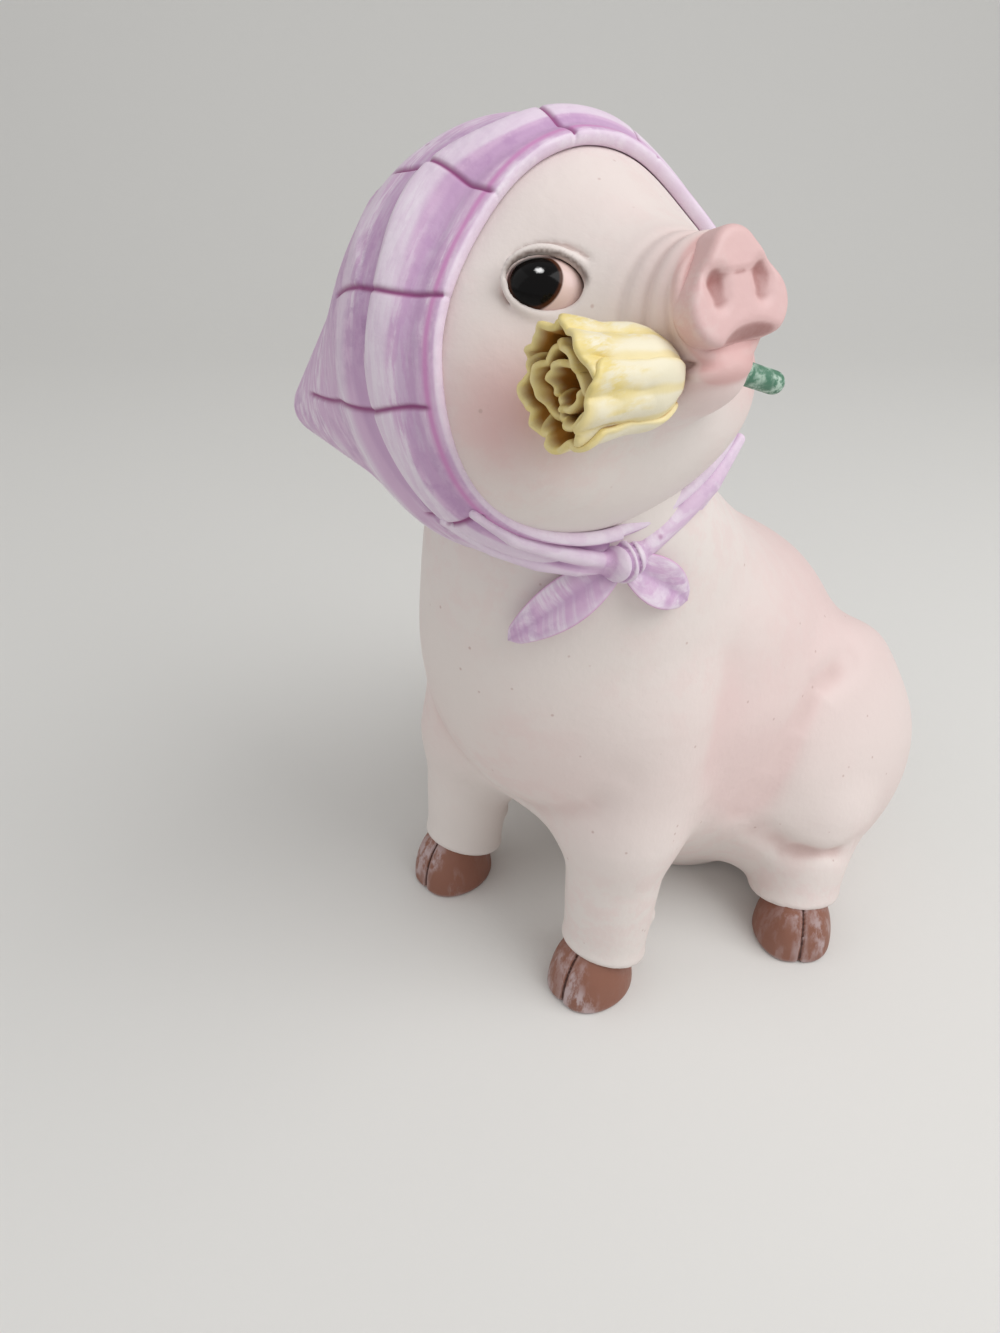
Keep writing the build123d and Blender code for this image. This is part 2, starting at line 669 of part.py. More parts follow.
# Rose: a stem through the mouth, and a bloom of two rings of petals round a bud
with BuildPart() as rose_stem:
    with BuildSketch(Plane(origin=stem_right, z_dir=stem_run)):
        Circle(stem_radius)
    extrude(amount=(stem_left - stem_right).length)
    fillet(rose_stem.faces().sort_by(Axis(stem_right, stem_run))[-1].edges(), stem_round)
keep(rose_stem.part, "rose_stem")

bloom_base = stem_right + stem_run * (bloom_socket_depth - glue_gap)
bloom_axis = Axis(bloom_base, -stem_run)
bloom_plane = Plane(origin=bloom_base, x_dir=-stem_run, z_dir=head_frame.x_dir)
bloom_socket = rod(bloom_base + stem_run * overrun, stem_right - stem_run * glue_gap,
                   stem_radius + glue_gap, stem_radius + glue_gap)
petal_rows = ((outer_petal_turn_shares, outer_petal_arc, 1, 0),
              (inner_petal_turn_shares, inner_petal_arc, inner_ring_share, inner_petal_arc / 2))
with BuildPart() as rose_bloom:
    with BuildSketch(bloom_plane):
        with BuildLine():
            cup_end = Vector(bloom_length / 2, bloom_cup_radius)
            cup = TangentArc((0, bloom_base_radius), cup_end, tangent=(0, 1))
            Polyline(cup @ 1, (bloom_length / 2, 0), (0, 0), cup @ 0)
        make_face()
        with Locations((bloom_length / 2, bud_radius / 2)):
            Rectangle(bloom_length * bud_length_share, bud_radius, align=(Align.MIN, Align.CENTER))
    revolve(axis=bloom_axis)
    for turn_shares, arc, ring_share, start in petal_rows:
        for turn_share in turn_shares:
            turn = start + full_turn * turn_share
            with BuildSketch(Plane(bloom_plane.location * Rotation(turn, 0, 0))):
                with BuildLine():
                    root_radius = bloom_cup_radius * ring_share - petal_thickness
                    root = Vector(bloom_length * petal_root_share, root_radius)
                    lip_end = Vector(bloom_length, bloom_mouth_radius * ring_share)
                    waist = Vector(bloom_length * petal_waist_share, bloom_cup_radius * ring_share)
                    wall = Vector(0, petal_thickness)
                    outer = Spline(root, waist, lip_end)
                    inner = Spline(root - wall, waist - wall, lip_end - wall)
                    Line(outer @ 0, inner @ 0)
                    Line(outer @ 1, inner @ 1)
                make_face()
            revolve(axis=bloom_axis, revolution_arc=arc)
    add(bloom_socket, mode=Mode.SUBTRACT)
keep(rose_bloom.part, "rose_bloom")
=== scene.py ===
"""Painted resin pig in a kerchief with a rose in its mouth, dressed round its solid model."""

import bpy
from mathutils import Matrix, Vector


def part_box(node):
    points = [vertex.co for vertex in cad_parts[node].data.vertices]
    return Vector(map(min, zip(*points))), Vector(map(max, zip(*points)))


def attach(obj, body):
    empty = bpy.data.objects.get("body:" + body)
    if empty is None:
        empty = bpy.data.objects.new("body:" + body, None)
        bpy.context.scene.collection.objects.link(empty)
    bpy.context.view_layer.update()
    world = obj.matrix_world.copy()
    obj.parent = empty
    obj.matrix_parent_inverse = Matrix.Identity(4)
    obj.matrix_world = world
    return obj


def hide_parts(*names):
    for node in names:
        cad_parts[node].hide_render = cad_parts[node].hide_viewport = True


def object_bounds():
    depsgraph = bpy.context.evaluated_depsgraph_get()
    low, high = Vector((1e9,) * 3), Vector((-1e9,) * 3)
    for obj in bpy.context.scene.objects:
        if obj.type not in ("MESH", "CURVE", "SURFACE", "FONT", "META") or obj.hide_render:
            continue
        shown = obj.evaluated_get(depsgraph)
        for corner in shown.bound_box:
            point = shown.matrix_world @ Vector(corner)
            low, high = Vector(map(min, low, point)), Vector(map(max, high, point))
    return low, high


bl_info = {
    "name": "Pig figurine",
    "version": (1, 0, 0),
    "blender": (4, 5, 0),
    "location": "View3D > Sidebar > Pig",
    "description": "Builds the painted surfaces of a seated resin pig round its solid model",
    "category": "Object",
}

import math

import bpy
import numpy as np
from mathutils import Vector

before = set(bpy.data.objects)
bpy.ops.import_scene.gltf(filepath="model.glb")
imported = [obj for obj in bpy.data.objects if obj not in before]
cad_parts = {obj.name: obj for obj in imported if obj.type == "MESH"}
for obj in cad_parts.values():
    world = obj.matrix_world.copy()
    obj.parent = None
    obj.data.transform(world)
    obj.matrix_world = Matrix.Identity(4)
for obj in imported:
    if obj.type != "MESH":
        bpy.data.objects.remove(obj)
cad_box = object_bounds()

SIDES = (("left", 1), ("right", -1))
UP = np.array((0.0, 0.0, 1.0))

# Shares of the torso's height, depth and half width at its stations, from the seat to the neck
STATION_HEIGHT_SHARES = (0, 0.057, 0.143, 0.25, 0.357, 0.5, 0.643, 0.786, 0.929, 1)
STATION_FRONT_SHARES = (-0.176, -0.228, -0.309, -0.426, -0.522, -0.603, -0.64, -0.636, -0.624, -0.624)
STATION_BACK_SHARES = (0.176, 0.25, 0.316, 0.353, 0.36, 0.316, 0.199, -0.022, -0.199, -0.265)
STATION_WIDTH_SHARES = (0.565, 0.696, 0.848, 0.957, 1, 0.978, 0.891, 0.772, 0.67, 0.6)
STATION_SHIFT_SHARES = (0, 0, 0, 0, 0, 0, 0, 0.2, 0.7, 1)

# Angles about the hood's axis, in degrees, and where the rolled band ends there, measured from the face
BAND_ANGLES = (0, 15, 35, 65, 95, 110, 127, 150, 180)
BAND_ENDS = (72, 73, 79.5, 77.5, 78.3, 76, 72.5, 69.5, 67.5)

# Lines pressed into the kerchief: angle about the hood's axis, then first and last angle from the face
PRESSED_LINES = ((-34, 60, 99), (-67, 57, 104), (-95, 62, 128), (-127.5, 62, 86), (-4, 58, 80),
                 (28, 60, 99), (62, 57, 104), (94, 60, 126), (127, 62, 86))


def length(label, note, default):
    """A length in metres for a property group."""
    return bpy.props.FloatProperty(name=label, description=note, default=default, min=0.0,
                                   precision=4, unit="LENGTH", subtype="DISTANCE")


def place(label, note, default):
    """A point in metres for a property group."""
    return bpy.props.FloatVectorProperty(name=label, description=note, default=default, size=3,
                                         precision=4, unit="LENGTH", subtype="TRANSLATION")


def turn(label, note, degrees):
    """An angle for a property group, written in degrees."""
    return bpy.props.FloatProperty(name=label, description=note, default=math.radians(degrees),
                                   unit="ROTATION", subtype="ANGLE")


def number(label, note, default):
    """A plain number for a property group."""
    return bpy.props.FloatProperty(name=label, description=note, default=default)


def count(label, note, default):
    """A whole number for a property group."""
    return bpy.props.IntProperty(name=label, description=note, default=default, min=1)


def paint(label, note, red, green, blue):
    """A colour for a property group, written as screen values from 0 to 255."""
    levels = (np.array((red, green, blue)) / 255.0)
    linear = np.where(levels <= 0.04045, levels / 12.92, ((levels + 0.055) / 1.055) ** 2.4)
    return bpy.props.FloatVectorProperty(name=label, description=note, default=linear.tolist(), size=3,
                                         min=0.0, max=1.0, subtype="COLOR")


torso_low, torso_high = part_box("torso")
tail_low, tail_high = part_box("tail")


class PigBodySizes(bpy.types.PropertyGroup):
    """Sizes of the torso, legs, hooves and tail."""
    torso_height: length("Torso height", "From the seat to the top of the neck", torso_high.z - torso_low.z)
    torso_depth: length("Torso depth", "Unit of the torso's front and back shares", 0.136)
    torso_half_width: length("Torso half width", "Half of the widest station", 0.046)
    neck_shift: length("Neck shift", "How far the neck leans to the pig's left", 0.0045)
    skin_step: length("Skin step", "Mesh spacing of the torso and legs", 0.00105)
    leg_blend: length("Leg blend", "Softness of the shoulder joint", 0.013)
    haunch_blend: length("Haunch blend", "Softness of the crease at the haunch", 0.0095)
    front_foot: place("Front foot", "Middle of the left front hoof on the floor", (0.027, -0.067, 0.0))
    hind_foot: place("Hind foot", "Middle of the left hind hoof on the floor", (0.055, -0.015, 0.0))
    hind_turn: turn("Hind turn", "How far the hind feet turn out", 45.0)
    knee: place("Knee", "Middle of the left front knee", (0.026, -0.058, 0.05))
    shoulder: place("Shoulder", "Middle of the left shoulder", (0.021, -0.052, 0.08))
    ankle_radius: length("Ankle radius", "Front leg above the hoof", 0.0104)
    knee_radius: length("Knee radius", "Front leg at the knee", 0.013)
    shoulder_radius: length("Shoulder radius", "Front leg inside the shoulder", 0.016)
    haunch: place("Haunch", "Middle of the left haunch", (0.0375, 0.009, 0.0405))
    haunch_radii: place("Haunch radii", "Half sizes of the haunch", (0.017, 0.034, 0.040))
    thigh: place("Thigh", "Middle of the left thigh's lower swelling", (0.043, 0.012, 0.036))
    thigh_radii: place("Thigh radii", "Half sizes of that swelling", (0.016, 0.029, 0.025))
    shank_top: place("Shank top", "Where the left shank leaves the haunch", (0.0483, -0.002, 0.035))
    shank_radius: length("Shank radius", "Hind leg above the hoof", 0.0108)
    shank_top_radius: length("Shank top radius", "Hind leg inside the haunch", 0.0125)
    hoof_length: length("Hoof length", "From toe to heel", 0.024)
    hoof_width: length("Hoof width", "Across both toes", 0.0224)
    hoof_height: length("Hoof height", "Top of the foot's ellipsoid", 0.0178)
    hoof_lead: length("Hoof lead", "How far the hoof stands ahead of its leg", 0.005)
    hoof_step: length("Hoof step", "Mesh spacing of the hooves", 0.0005)
    coronet_height: length("Coronet height", "Edge of the skin over the hoof", 0.011)
    coronet_slope: turn("Coronet slope", "Rise of that edge towards the toe", 20.0)
    cleft_width: length("Cleft width", "Gap between the toes at the floor", 0.0005)
    cleft_depth: length("Cleft depth", "Depth of the gap under the hoof's surface", 0.0006)
    dewclaw_radius: length("Dewclaw radius", "Nubs behind the ankles", 0.0024)
    dewclaw_height: length("Dewclaw height", "Height of the nubs", 0.021)
    tail_radius: length("Tail radius", "Thickness of the curl at its root", 0.0026)
    tail_curl_radius: length("Tail curl radius", "Radius of the curl", 0.0055)
    tail_pitch: length("Tail pitch", "Advance of one turn", 0.0065)
    tail_turns: number("Tail turns", "Turns of the curl", 1.3)


class PigHeadSizes(bpy.types.PropertyGroup):
    """Sizes of the head, snout and eyes."""
    centre: place("Head centre", "Middle of the skull", (0.0045, -0.06746, 0.1615))
    yaw: turn("Yaw", "How far the face turns to the pig's left", 80.0)
    pitch: turn("Pitch", "How far the face tilts up", 22.0)
    skull_radius: length("Skull radius", "Half height of the skull", 0.0355)
    skull_half_length: length("Skull half length", "Half length of the skull", 0.0345)
    head_step: length("Head step", "Mesh spacing of the head", 0.00055)
    muzzle_length: length("Muzzle length", "From the skull's middle to the snout", 0.0485)
    muzzle_radius: length("Muzzle radius", "Muzzle behind the snout", 0.0091)
    muzzle_root_radius: length("Muzzle root radius", "Muzzle where it leaves the face", 0.013)
    muzzle_blend: length("Muzzle blend", "Softness of the muzzle's root", 0.011)
    wrinkle_depth: length("Wrinkle depth", "Creases of skin behind the snout", 0.00065)
    wrinkle_width: length("Wrinkle width", "Half width of those creases", 0.0012)
    snout_half_width: length("Snout half width", "Half width of the snout's lower edge", 0.0094)
    snout_half_height: length("Snout half height", "Half height of the snout", 0.0080)
    snout_lift: length("Snout lift", "Middle of the snout over the muzzle's axis", 0.0020)
    snout_thickness: length("Snout thickness", "From the muzzle to the nose's face", 0.0040)
    eye_half_length: length("Eye half length", "Half of the eyeball along the lids", 0.0062)
    eye_half_height: length("Eye half height", "Half of the eyeball across the lids", 0.0045)
    eye_proud: length("Eye stand-off", "How far the eyeball stands out of the skull", 0.0017)
    iris_radius: length("Iris radius", "Black part of the eye", 0.0041)
    iris_back: length("Iris back", "How far the iris sits towards the back corner of the eye", 0.0016)
    lid_radius: length("Lid radius", "Thickness of the upper lid", 0.00085)


class KerchiefSizes(bpy.types.PropertyGroup):
    """Sizes of the kerchief, its knot and its loose ends."""
    pitch: turn("Hood pitch", "Tilt of the hood's axis", 14.0)
    radius: length("Hood radius", "Outside of the cloth over the skull", 0.038)
    inside: length("Hood inside", "Inside of the cloth", 0.0359)
    opening: turn("Opening", "Angle of the rim from the hood's axis", 60.0)
    band_height: length("Band height", "Ridge of the rolled band round the face", 0.0017)
    fold_height: length("Fold height", "Second soft fold behind the band", 0.0008)
    point_reach: length("Point reach", "Tip of the cloth at each side, from the head's middle", 0.0532)
    point_cone: length("Point cone", "Distance of the point's slope from the head's middle", 0.0368)
    point_slope: turn("Point slope", "Lean of that slope from the point's axis", 49.4)
    line_depth: length("Line depth", "Depth of the pressed lines", 0.00055)
    line_width: turn("Line width", "Half width of the pressed lines", 0.75)
    knot: place("Knot", "Middle of the knot", (0.0299, -0.0705, 0.1283))
    long_tip: place("Long tip", "Tip of the long loose end", (0.0159, -0.0865, 0.1111))
    short_tip: place("Short tip", "Tip of the short loose end", (0.0365, -0.0576, 0.1171))
    end_width: length("End width", "Widest part of a loose end", 0.0094)
    end_thickness: length("End thickness", "Thickness of a loose end", 0.0022)


class RoseSizes(bpy.types.PropertyGroup):
    """Sizes of the rose and its stem."""
    stem_right: place("Stem start", "Stem inside the bloom, in head coordinates", (0.0419, -0.0163, -0.0075))
    stem_bend: place("Stem bend", "Where the stem leaves the mouth, in head coordinates", (0.0423, 0.0070, -0.0104))
    stem_left: place("Stem end", "Free end of the stem, in head coordinates", (0.0421, 0.0136, -0.0132))
    stem_radius: length("Stem radius", "Thickness of the stem", 0.0019)
    bloom_length: length("Bloom length", "From the calyx to the petals' edge", 0.0205)
    bloom_set_back: length("Bloom set-back", "How far the calyx sits behind the start of the stem", 0.0080)
    mouth_radius: length("Mouth radius", "Open end of the bloom", 0.0080)
    petal_thickness: length("Petal thickness", "Thickness of a cast petal", 0.0011)


class PaintColours(bpy.types.PropertyGroup):
    """Colours of the paints."""
    skin: paint("Skin", "Cream paint of the body", 230, 221, 216)
    # Pink paint; along the body's creases it also stands for painted shade
    flush: paint("Flush", "Pink sprayed into the creases", 230, 204, 201)
    blush: paint("Blush", "Rose on the cheeks", 214, 150, 150)
    # Painted shade in the creases of the skin; also the colour of the dirt specks on the skin and the stopper
    shade: paint("Shade", "Pinkish brown settled in the creases", 190, 160, 153)
    lip: paint("Lip", "Pink of the mouth", 220, 176, 173)
    snout: paint("Snout", "Pink of the snout", 220, 183, 181)
    # Also the painted shadow under the snout's lower edge
    nostril: paint("Nostril", "Dark pink in the nostrils", 160, 108, 104)
    cloth: paint("Cloth", "Lavender of the kerchief", 212, 178, 209)
    cloth_wash: paint("Cloth wash", "Purple in the folds", 182, 140, 184)
    cloth_dry: paint("Cloth dry brush", "White on the ridges", 236, 226, 236)
    cloth_rim: paint("Cloth rim", "Magenta along the rim", 205, 138, 190)
    cloth_line: paint("Cloth line", "Dark magenta of the pressed lines", 150, 72, 128)
    hoof: paint("Hoof", "Brown of the hooves", 140, 92, 74)
    hoof_dry: paint("Hoof dry brush", "Dusty highlight of the hooves", 186, 164, 164)
    hoof_wash: paint("Hoof wash", "Dark paint in the cleft", 84, 52, 44)
    iris: paint("Iris", "Black of the eye", 8, 6, 6)
    # Also the dark line along the upper lids, partly painted shade under them
    iris_rim: paint("Iris rim", "Dark brown round the iris", 74, 40, 24)
    sclera: paint("Sclera", "Pale pink beside the iris", 226, 200, 192)
    # Painted highlight: a small white dot on the eye that stands in for a reflection
    painted_highlight: paint("Painted highlight", "Small white dot on the eye", 240, 240, 240)
    petal: paint("Petal", "Creamy white of the petals", 236, 228, 202)
    petal_edge: paint("Petal edge", "Yellow along the petals' edges", 231, 211, 138)
    petal_depth: paint("Petal depth", "Ochre between the petals", 164, 110, 36)
    stem: paint("Stem", "Green of the stem", 74, 122, 98)
    stem_dry: paint("Stem dry brush", "Pale highlight of the stem", 176, 200, 184)
    plug: paint("Plug", "Grey rubber of the stopper", 96, 94, 92)
    floor: paint("Floor", "Pale floor and backdrop", 226, 225, 222)


class StageSettings(bpy.types.PropertyGroup):
    """Camera, lamps and floor."""
    camera: place("Camera", "Where the camera stands", (0.1326, -0.2005, 0.219))
    heading: turn("Heading", "Camera's heading from +Y towards -X", 46.22)
    tilt: turn("Tilt", "How far the camera looks down", 35.0)
    lens: number("Lens", "Focal length for a 36 mm long side", 27.0)
    key_power: number("Key power", "Watts of the large lamp", 2.9)
    fill_power: number("Fill power", "Watts of the lamp on the other side", 0.4)
    sky: number("Sky", "Strength of the even light from all round", 0.56)


class PigSettings(bpy.types.PropertyGroup):
    """Everything that a user would change."""
    body: bpy.props.PointerProperty(type=PigBodySizes, name="Body")
    head: bpy.props.PointerProperty(type=PigHeadSizes, name="Head")
    kerchief: bpy.props.PointerProperty(type=KerchiefSizes, name="Kerchief")
    rose: bpy.props.PointerProperty(type=RoseSizes, name="Rose")
    colours: bpy.props.PointerProperty(type=PaintColours, name="Colours")
    stage: bpy.props.PointerProperty(type=StageSettings, name="Stage")


# Small geometry helpers

def unit(vector):
    """A vector at length one."""
    vector = np.asarray(vector, float)
    return vector / np.linalg.norm(vector)


def ease(values, start, end):
    """Smooth rise from 0 at start to 1 at end."""
    share = np.clip((np.asarray(values) - start) / (end - start), 0.0, 1.0)
    return share * share * (3.0 - 2.0 * share)


def smooth_through(knots, heights, values):
    """Cubic curve through knots, with slopes taken from the neighbours."""
    knots = np.asarray(knots, float)
    heights = np.asarray(heights, float)
    slopes = np.gradient(heights, knots)
    values = np.clip(values, knots[0], knots[-1])
    span = np.clip(np.searchsorted(knots, values, side="right") - 1, 0, len(knots) - 2)
    width = knots[span + 1] - knots[span]
    t = (values - knots[span]) / width
    rise = heights[span + 1] - heights[span]
    curve = heights[span] + t * t * (3.0 - 2.0 * t) * rise
    curve += width * t * (1.0 - t) * ((1.0 - t) * slopes[span] - t * slopes[span + 1])
    return curve


def mirrored(point, side):
    """A left-hand point, on the pig's left (1) or right (-1)."""
    return np.array((side * point[0], point[1], point[2]))


class LocalFrame:
    """A turned frame: its three axes are the columns of a matrix."""

    def __init__(self, origin, axes):
        self.origin = np.asarray(origin, float)
        self.axes = np.stack([np.asarray(axis, float) for axis in axes], 1)

    def into(self, points):
        """Points of the part in this frame."""
        return (points - self.origin) @ self.axes

    def out(self, points):
        """Points of this frame in the part."""
        return self.origin + np.asarray(points, float) @ self.axes.T


def face_frame(head, pitch):
    """Frame at the skull's middle: out of the face, to the pig's left, to the crown."""
    level = np.array((math.sin(head.yaw), -math.cos(head.yaw), 0.0))
    ahead = math.cos(pitch) * level + math.sin(pitch) * UP
    crown = math.cos(pitch) * UP - math.sin(pitch) * level
    return LocalFrame(head.centre, (ahead, np.cross(crown, ahead), crown))


# Distance fields: negative inside a form, positive outside

def ellipsoid_field(points, centre, radii, axes=None):
    """Near distance to an ellipsoid."""
    offset = points - np.asarray(centre, float)
    if axes is not None:
        offset = offset @ axes
    radii = np.asarray(radii, float)
    near = np.linalg.norm(offset / radii, axis=-1)
    slope = np.linalg.norm(offset / (radii * radii), axis=-1)
    return near * (near - 1.0) / np.maximum(slope, 1e-9)


def cone_field(points, start, end, start_radius, end_radius):
    """Distance to a rod with round ends and two radii."""
    start = np.asarray(start, float)
    run = np.asarray(end, float) - start
    share = np.clip(((points - start) @ run) / (run @ run), 0.0, 1.0)
    gap = np.linalg.norm(points - start - share[..., None] * run, axis=-1)
    return gap - (start_radius + (end_radius - start_radius) * share)


def chain_field(points, line, radii):
    """Distance to a round strand through a line of points."""
    field = None
    for start, end, first, last in zip(line, line[1:], radii, radii[1:]):
        link = cone_field(points, start, end, first, last)
        field = link if field is None else np.minimum(field, link)
    return field


def soft_union(first, second, blend):
    """Two forms joined with a soft valley."""
    share = np.clip(0.5 + 0.5 * (second - first) / blend, 0.0, 1.0)
    return second + (first - second) * share - blend * share * (1.0 - share)


def soft_common(first, second, blend):
    """What two forms share, with a soft edge."""
    return -soft_union(-first, -second, blend)


def soft_cut(first, second, blend):
    """The first form without the second, with a soft edge."""
    return soft_common(first, -second, blend)


def sampled(field, low, high, step, block=8, margin=1.5):
    """Field values on a grid, worked out in full only in the blocks that the surface may cross."""
    blocks = np.ceil((high - low) / step / block).astype(int) + 1
    corner = np.stack(np.meshgrid(*[np.arange(n) for n in blocks], indexing="ij"), -1) * block
    inside = np.stack(np.meshgrid(*[np.arange(block)] * 3, indexing="ij"), -1)
    middle = field(low + step * (corner + (block - 1) / 2))
    values = np.broadcast_to(middle[..., None, None, None], (*blocks, block, block, block)).copy()
    near = np.abs(middle) < margin * step * block
    values[near] = field(low + step * (corner[near][:, None, None, None] + inside))
    return values.transpose(0, 3, 1, 4, 2, 5).reshape(blocks * block)


def crossing_mesh(values, low, step):
    """Quads of the zero surface of a grid, one vertex in each cell that it crosses."""
    solid = values < 0
    size = np.array(values.shape)
    corners = np.zeros(size - 1, int)
    for dx, dy, dz in np.ndindex(2, 2, 2):
        corners += solid[dx:size[0] - 1 + dx, dy:size[1] - 1 + dy, dz:size[2] - 1 + dz]
    active = (corners > 0) & (corners < 8)
    cells = np.argwhere(active)
    index = np.full(size - 1, -1)
    index[active] = np.arange(len(cells))
    total = np.zeros((len(cells), 3))
    crossings = np.zeros(len(cells))
    for axis in range(3):
        others = [other for other in range(3) if other != axis]
        for first, second in np.ndindex(2, 2):
            near = cells.copy()
            near[:, others[0]] += first
            near[:, others[1]] += second
            far = near.copy()
            far[:, axis] += 1
            start, end = values[tuple(near.T)], values[tuple(far.T)]
            crossed = (start < 0) != (end < 0)
            share = np.where(crossed, start / np.where(crossed, start - end, 1.0), 0.0)
            spot = (near - cells).astype(float)
            spot[:, axis] = share
            total += spot * crossed[:, None]
            crossings += crossed
    vertices = low + step * (cells + total / crossings[:, None])
    quads = []
    for axis in range(3):
        second, third = (axis + 1) % 3, (axis + 2) % 3
        near_side = solid[tuple(slice(0, -1) if a == axis else slice(None) for a in range(3))]
        far_side = solid[tuple(slice(1, None) if a == axis else slice(None) for a in range(3))]
        edges = np.argwhere(near_side != far_side)
        ring = []
        for back, down in ((1, 1), (0, 1), (0, 0), (1, 0)):
            cell = edges.copy()
            cell[:, second] -= back
            cell[:, third] -= down
            ring.append(index[tuple(cell.T)])
        quad = np.stack(ring, 1)
        turned = ~near_side[tuple(edges.T)]
        quad[turned] = quad[turned][:, ::-1]
        quads.append(quad)
    return vertices, np.concatenate(quads)


def slope_of(field, points, reach):
    """Gradient of a field."""
    steps = reach * np.eye(3)
    return np.stack([field(points + s) - field(points - s) for s in steps], -1) / (2.0 * reach)


def curve_of(field, points, reach):
    """How much a surface bulges (positive) or folds in (negative), in one over metres."""
    total = -6.0 * field(points)
    for step in reach * np.eye(3):
        total += field(points + step) + field(points - step)
    return total / (reach * reach)


def cast(field, low, high, step):
    """Vertices, quads and normals of a form, with the vertices drawn onto the true surface."""
    low, high = np.asarray(low, float), np.asarray(high, float)
    vertices, quads = crossing_mesh(sampled(field, low, high, step), low, step)
    for _ in range(3):
        slope = slope_of(field, vertices, step * 0.1)
        size = np.maximum(np.sum(slope * slope, -1), 0.05)
        move = (field(vertices) / size)[:, None] * slope
        vertices = vertices - np.clip(move, -0.5 * step, 0.5 * step)
    normals = slope_of(field, vertices, step * 0.2)
    normals /= np.maximum(np.linalg.norm(normals, axis=-1, keepdims=True), 1e-9)
    return vertices, quads, normals


# Pieces

def new_piece(name, vertices, faces, material, attributes=None, normals=None):
    """A smooth mesh object at the origin, with named vertex values for its paint."""
    mesh = bpy.data.meshes.new(name)
    mesh.from_pydata(vertices.tolist(), [], [list(map(int, face)) for face in faces])
    mesh.polygons.foreach_set("use_smooth", np.ones(len(mesh.polygons), bool))
    for key, values in (attributes or {}).items():
        layer = mesh.attributes.new(key, "FLOAT", "POINT")
        layer.data.foreach_set("value", np.asarray(values, np.float32))
    mesh.materials.append(material)
    mesh.update()
    if normals is not None:
        mesh.normals_split_custom_set_from_vertices(normals.tolist())
    piece = bpy.data.objects.new(name, mesh)
    bpy.context.scene.collection.objects.link(piece)
    return piece


def hand_over(piece, slot, *nodes):
    """Tie a finished piece to the part's body and hide the solid nodes that it stands for. The paint slot is not
    used.
    """
    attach(piece, "root")
    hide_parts(*nodes)
    return piece


def rim_loops(faces):
    """Closed rings of edges that only one face uses, in the order of their faces."""
    after = {}
    for face in faces:
        for start, end in zip(face, np.roll(face, -1)):
            if (end, start) in after:
                del after[(end, start)]
            else:
                after[(start, end)] = True
    following = {}
    for start, end in after:
        following.setdefault(start, []).append(end)
    loops = []
    while following:
        first = next(iter(following))
        loop, spot = [], first
        while spot in following:
            loop.append(spot)
            ends = following[spot]
            spot_next = ends.pop()
            if not ends:
                del following[spot]
            spot = spot_next
        loops.append(loop)
    return loops


def cut_out(vertices, quads, normals, chosen):
    """One piece of a casting: its own faces, closed inside with a fan over each open ring."""
    faces = quads[chosen]
    used, faces = np.unique(faces, return_inverse=True)
    faces = faces.reshape(-1, 4)
    points, arrows = vertices[used], normals[used]
    closing = []
    for loop in rim_loops(faces):
        hub = len(points)
        points = np.vstack([points, points[loop].mean(0)])
        arrows = np.vstack([arrows, arrows[loop].mean(0)])
        closing += [(end, start, hub) for start, end in zip(loop, np.roll(loop, -1))]
    return points, [*faces.tolist(), *closing], arrows


def grid_faces(rows, columns, wrap):
    """Quads of a grid of points kept row by row, joined round where it wraps."""
    row, column = np.meshgrid(np.arange(rows - 1), np.arange(columns if wrap else columns - 1), indexing="ij")
    start = row * columns + column
    beside = row * columns + (column + 1) % columns
    return np.stack([start, beside, beside + columns, start + columns], -1).reshape(-1, 4)


# Shader helpers

class NodeTree:
    """Adds nodes to a tree, and sets or links their inputs."""

    def __init__(self, tree):
        self.tree = tree

    def add(self, kind, inputs=None, **settings):
        node = self.tree.nodes.new(kind)
        for key, value in settings.items():
            setattr(node, key, value)
        for key, value in (inputs or {}).items():
            self.feed(node.inputs[key], value)
        return node

    def feed(self, socket, value):
        if isinstance(value, bpy.types.NodeSocket):
            self.tree.links.new(value, socket)
        elif hasattr(value, "__len__") and len(value) == 3 and socket.type == "RGBA":
            socket.default_value = (*value, 1.0)
        else:
            socket.default_value = value

    def math(self, operation, first, second=0.0, clamp=False):
        node = self.add("ShaderNodeMath", {0: first, 1: second}, operation=operation, use_clamp=clamp)
        return node.outputs[0]

    def ramp(self, value, low, high):
        node = self.add("ShaderNodeMapRange", {"Value": value, "From Min": low, "From Max": high},
                        interpolation_type="SMOOTHSTEP")
        return node.outputs["Result"]

    def mix(self, share, first, second):
        node = self.add("ShaderNodeMix", data_type="RGBA")
        self.feed(node.inputs[0], share)
        self.feed(node.inputs[6], first)
        self.feed(node.inputs[7], second)
        return node.outputs[2]

    def value(self, name):
        return self.add("ShaderNodeAttribute", attribute_name=name).outputs["Fac"]

    def group(self, name, inputs):
        node = self.add("ShaderNodeGroup", node_tree=bpy.data.node_groups[name])
        for key, value in inputs.items():
            self.feed(node.inputs[key], value)
        return node.outputs


def new_group(name, inputs, outputs):
    """A shader group with named sockets, its inner tree and its two end nodes."""
    group = bpy.data.node_groups.new(name, "ShaderNodeTree")
    for label, kind, default in inputs:
        socket = group.interface.new_socket(label, in_out="INPUT", socket_type=kind)
        socket.default_value = default
    for label, kind in outputs:
        group.interface.new_socket(label, in_out="OUTPUT", socket_type=kind)
    nodes = NodeTree(group)
    return nodes, nodes.add("NodeGroupInput").outputs, nodes.add("NodeGroupOutput").inputs


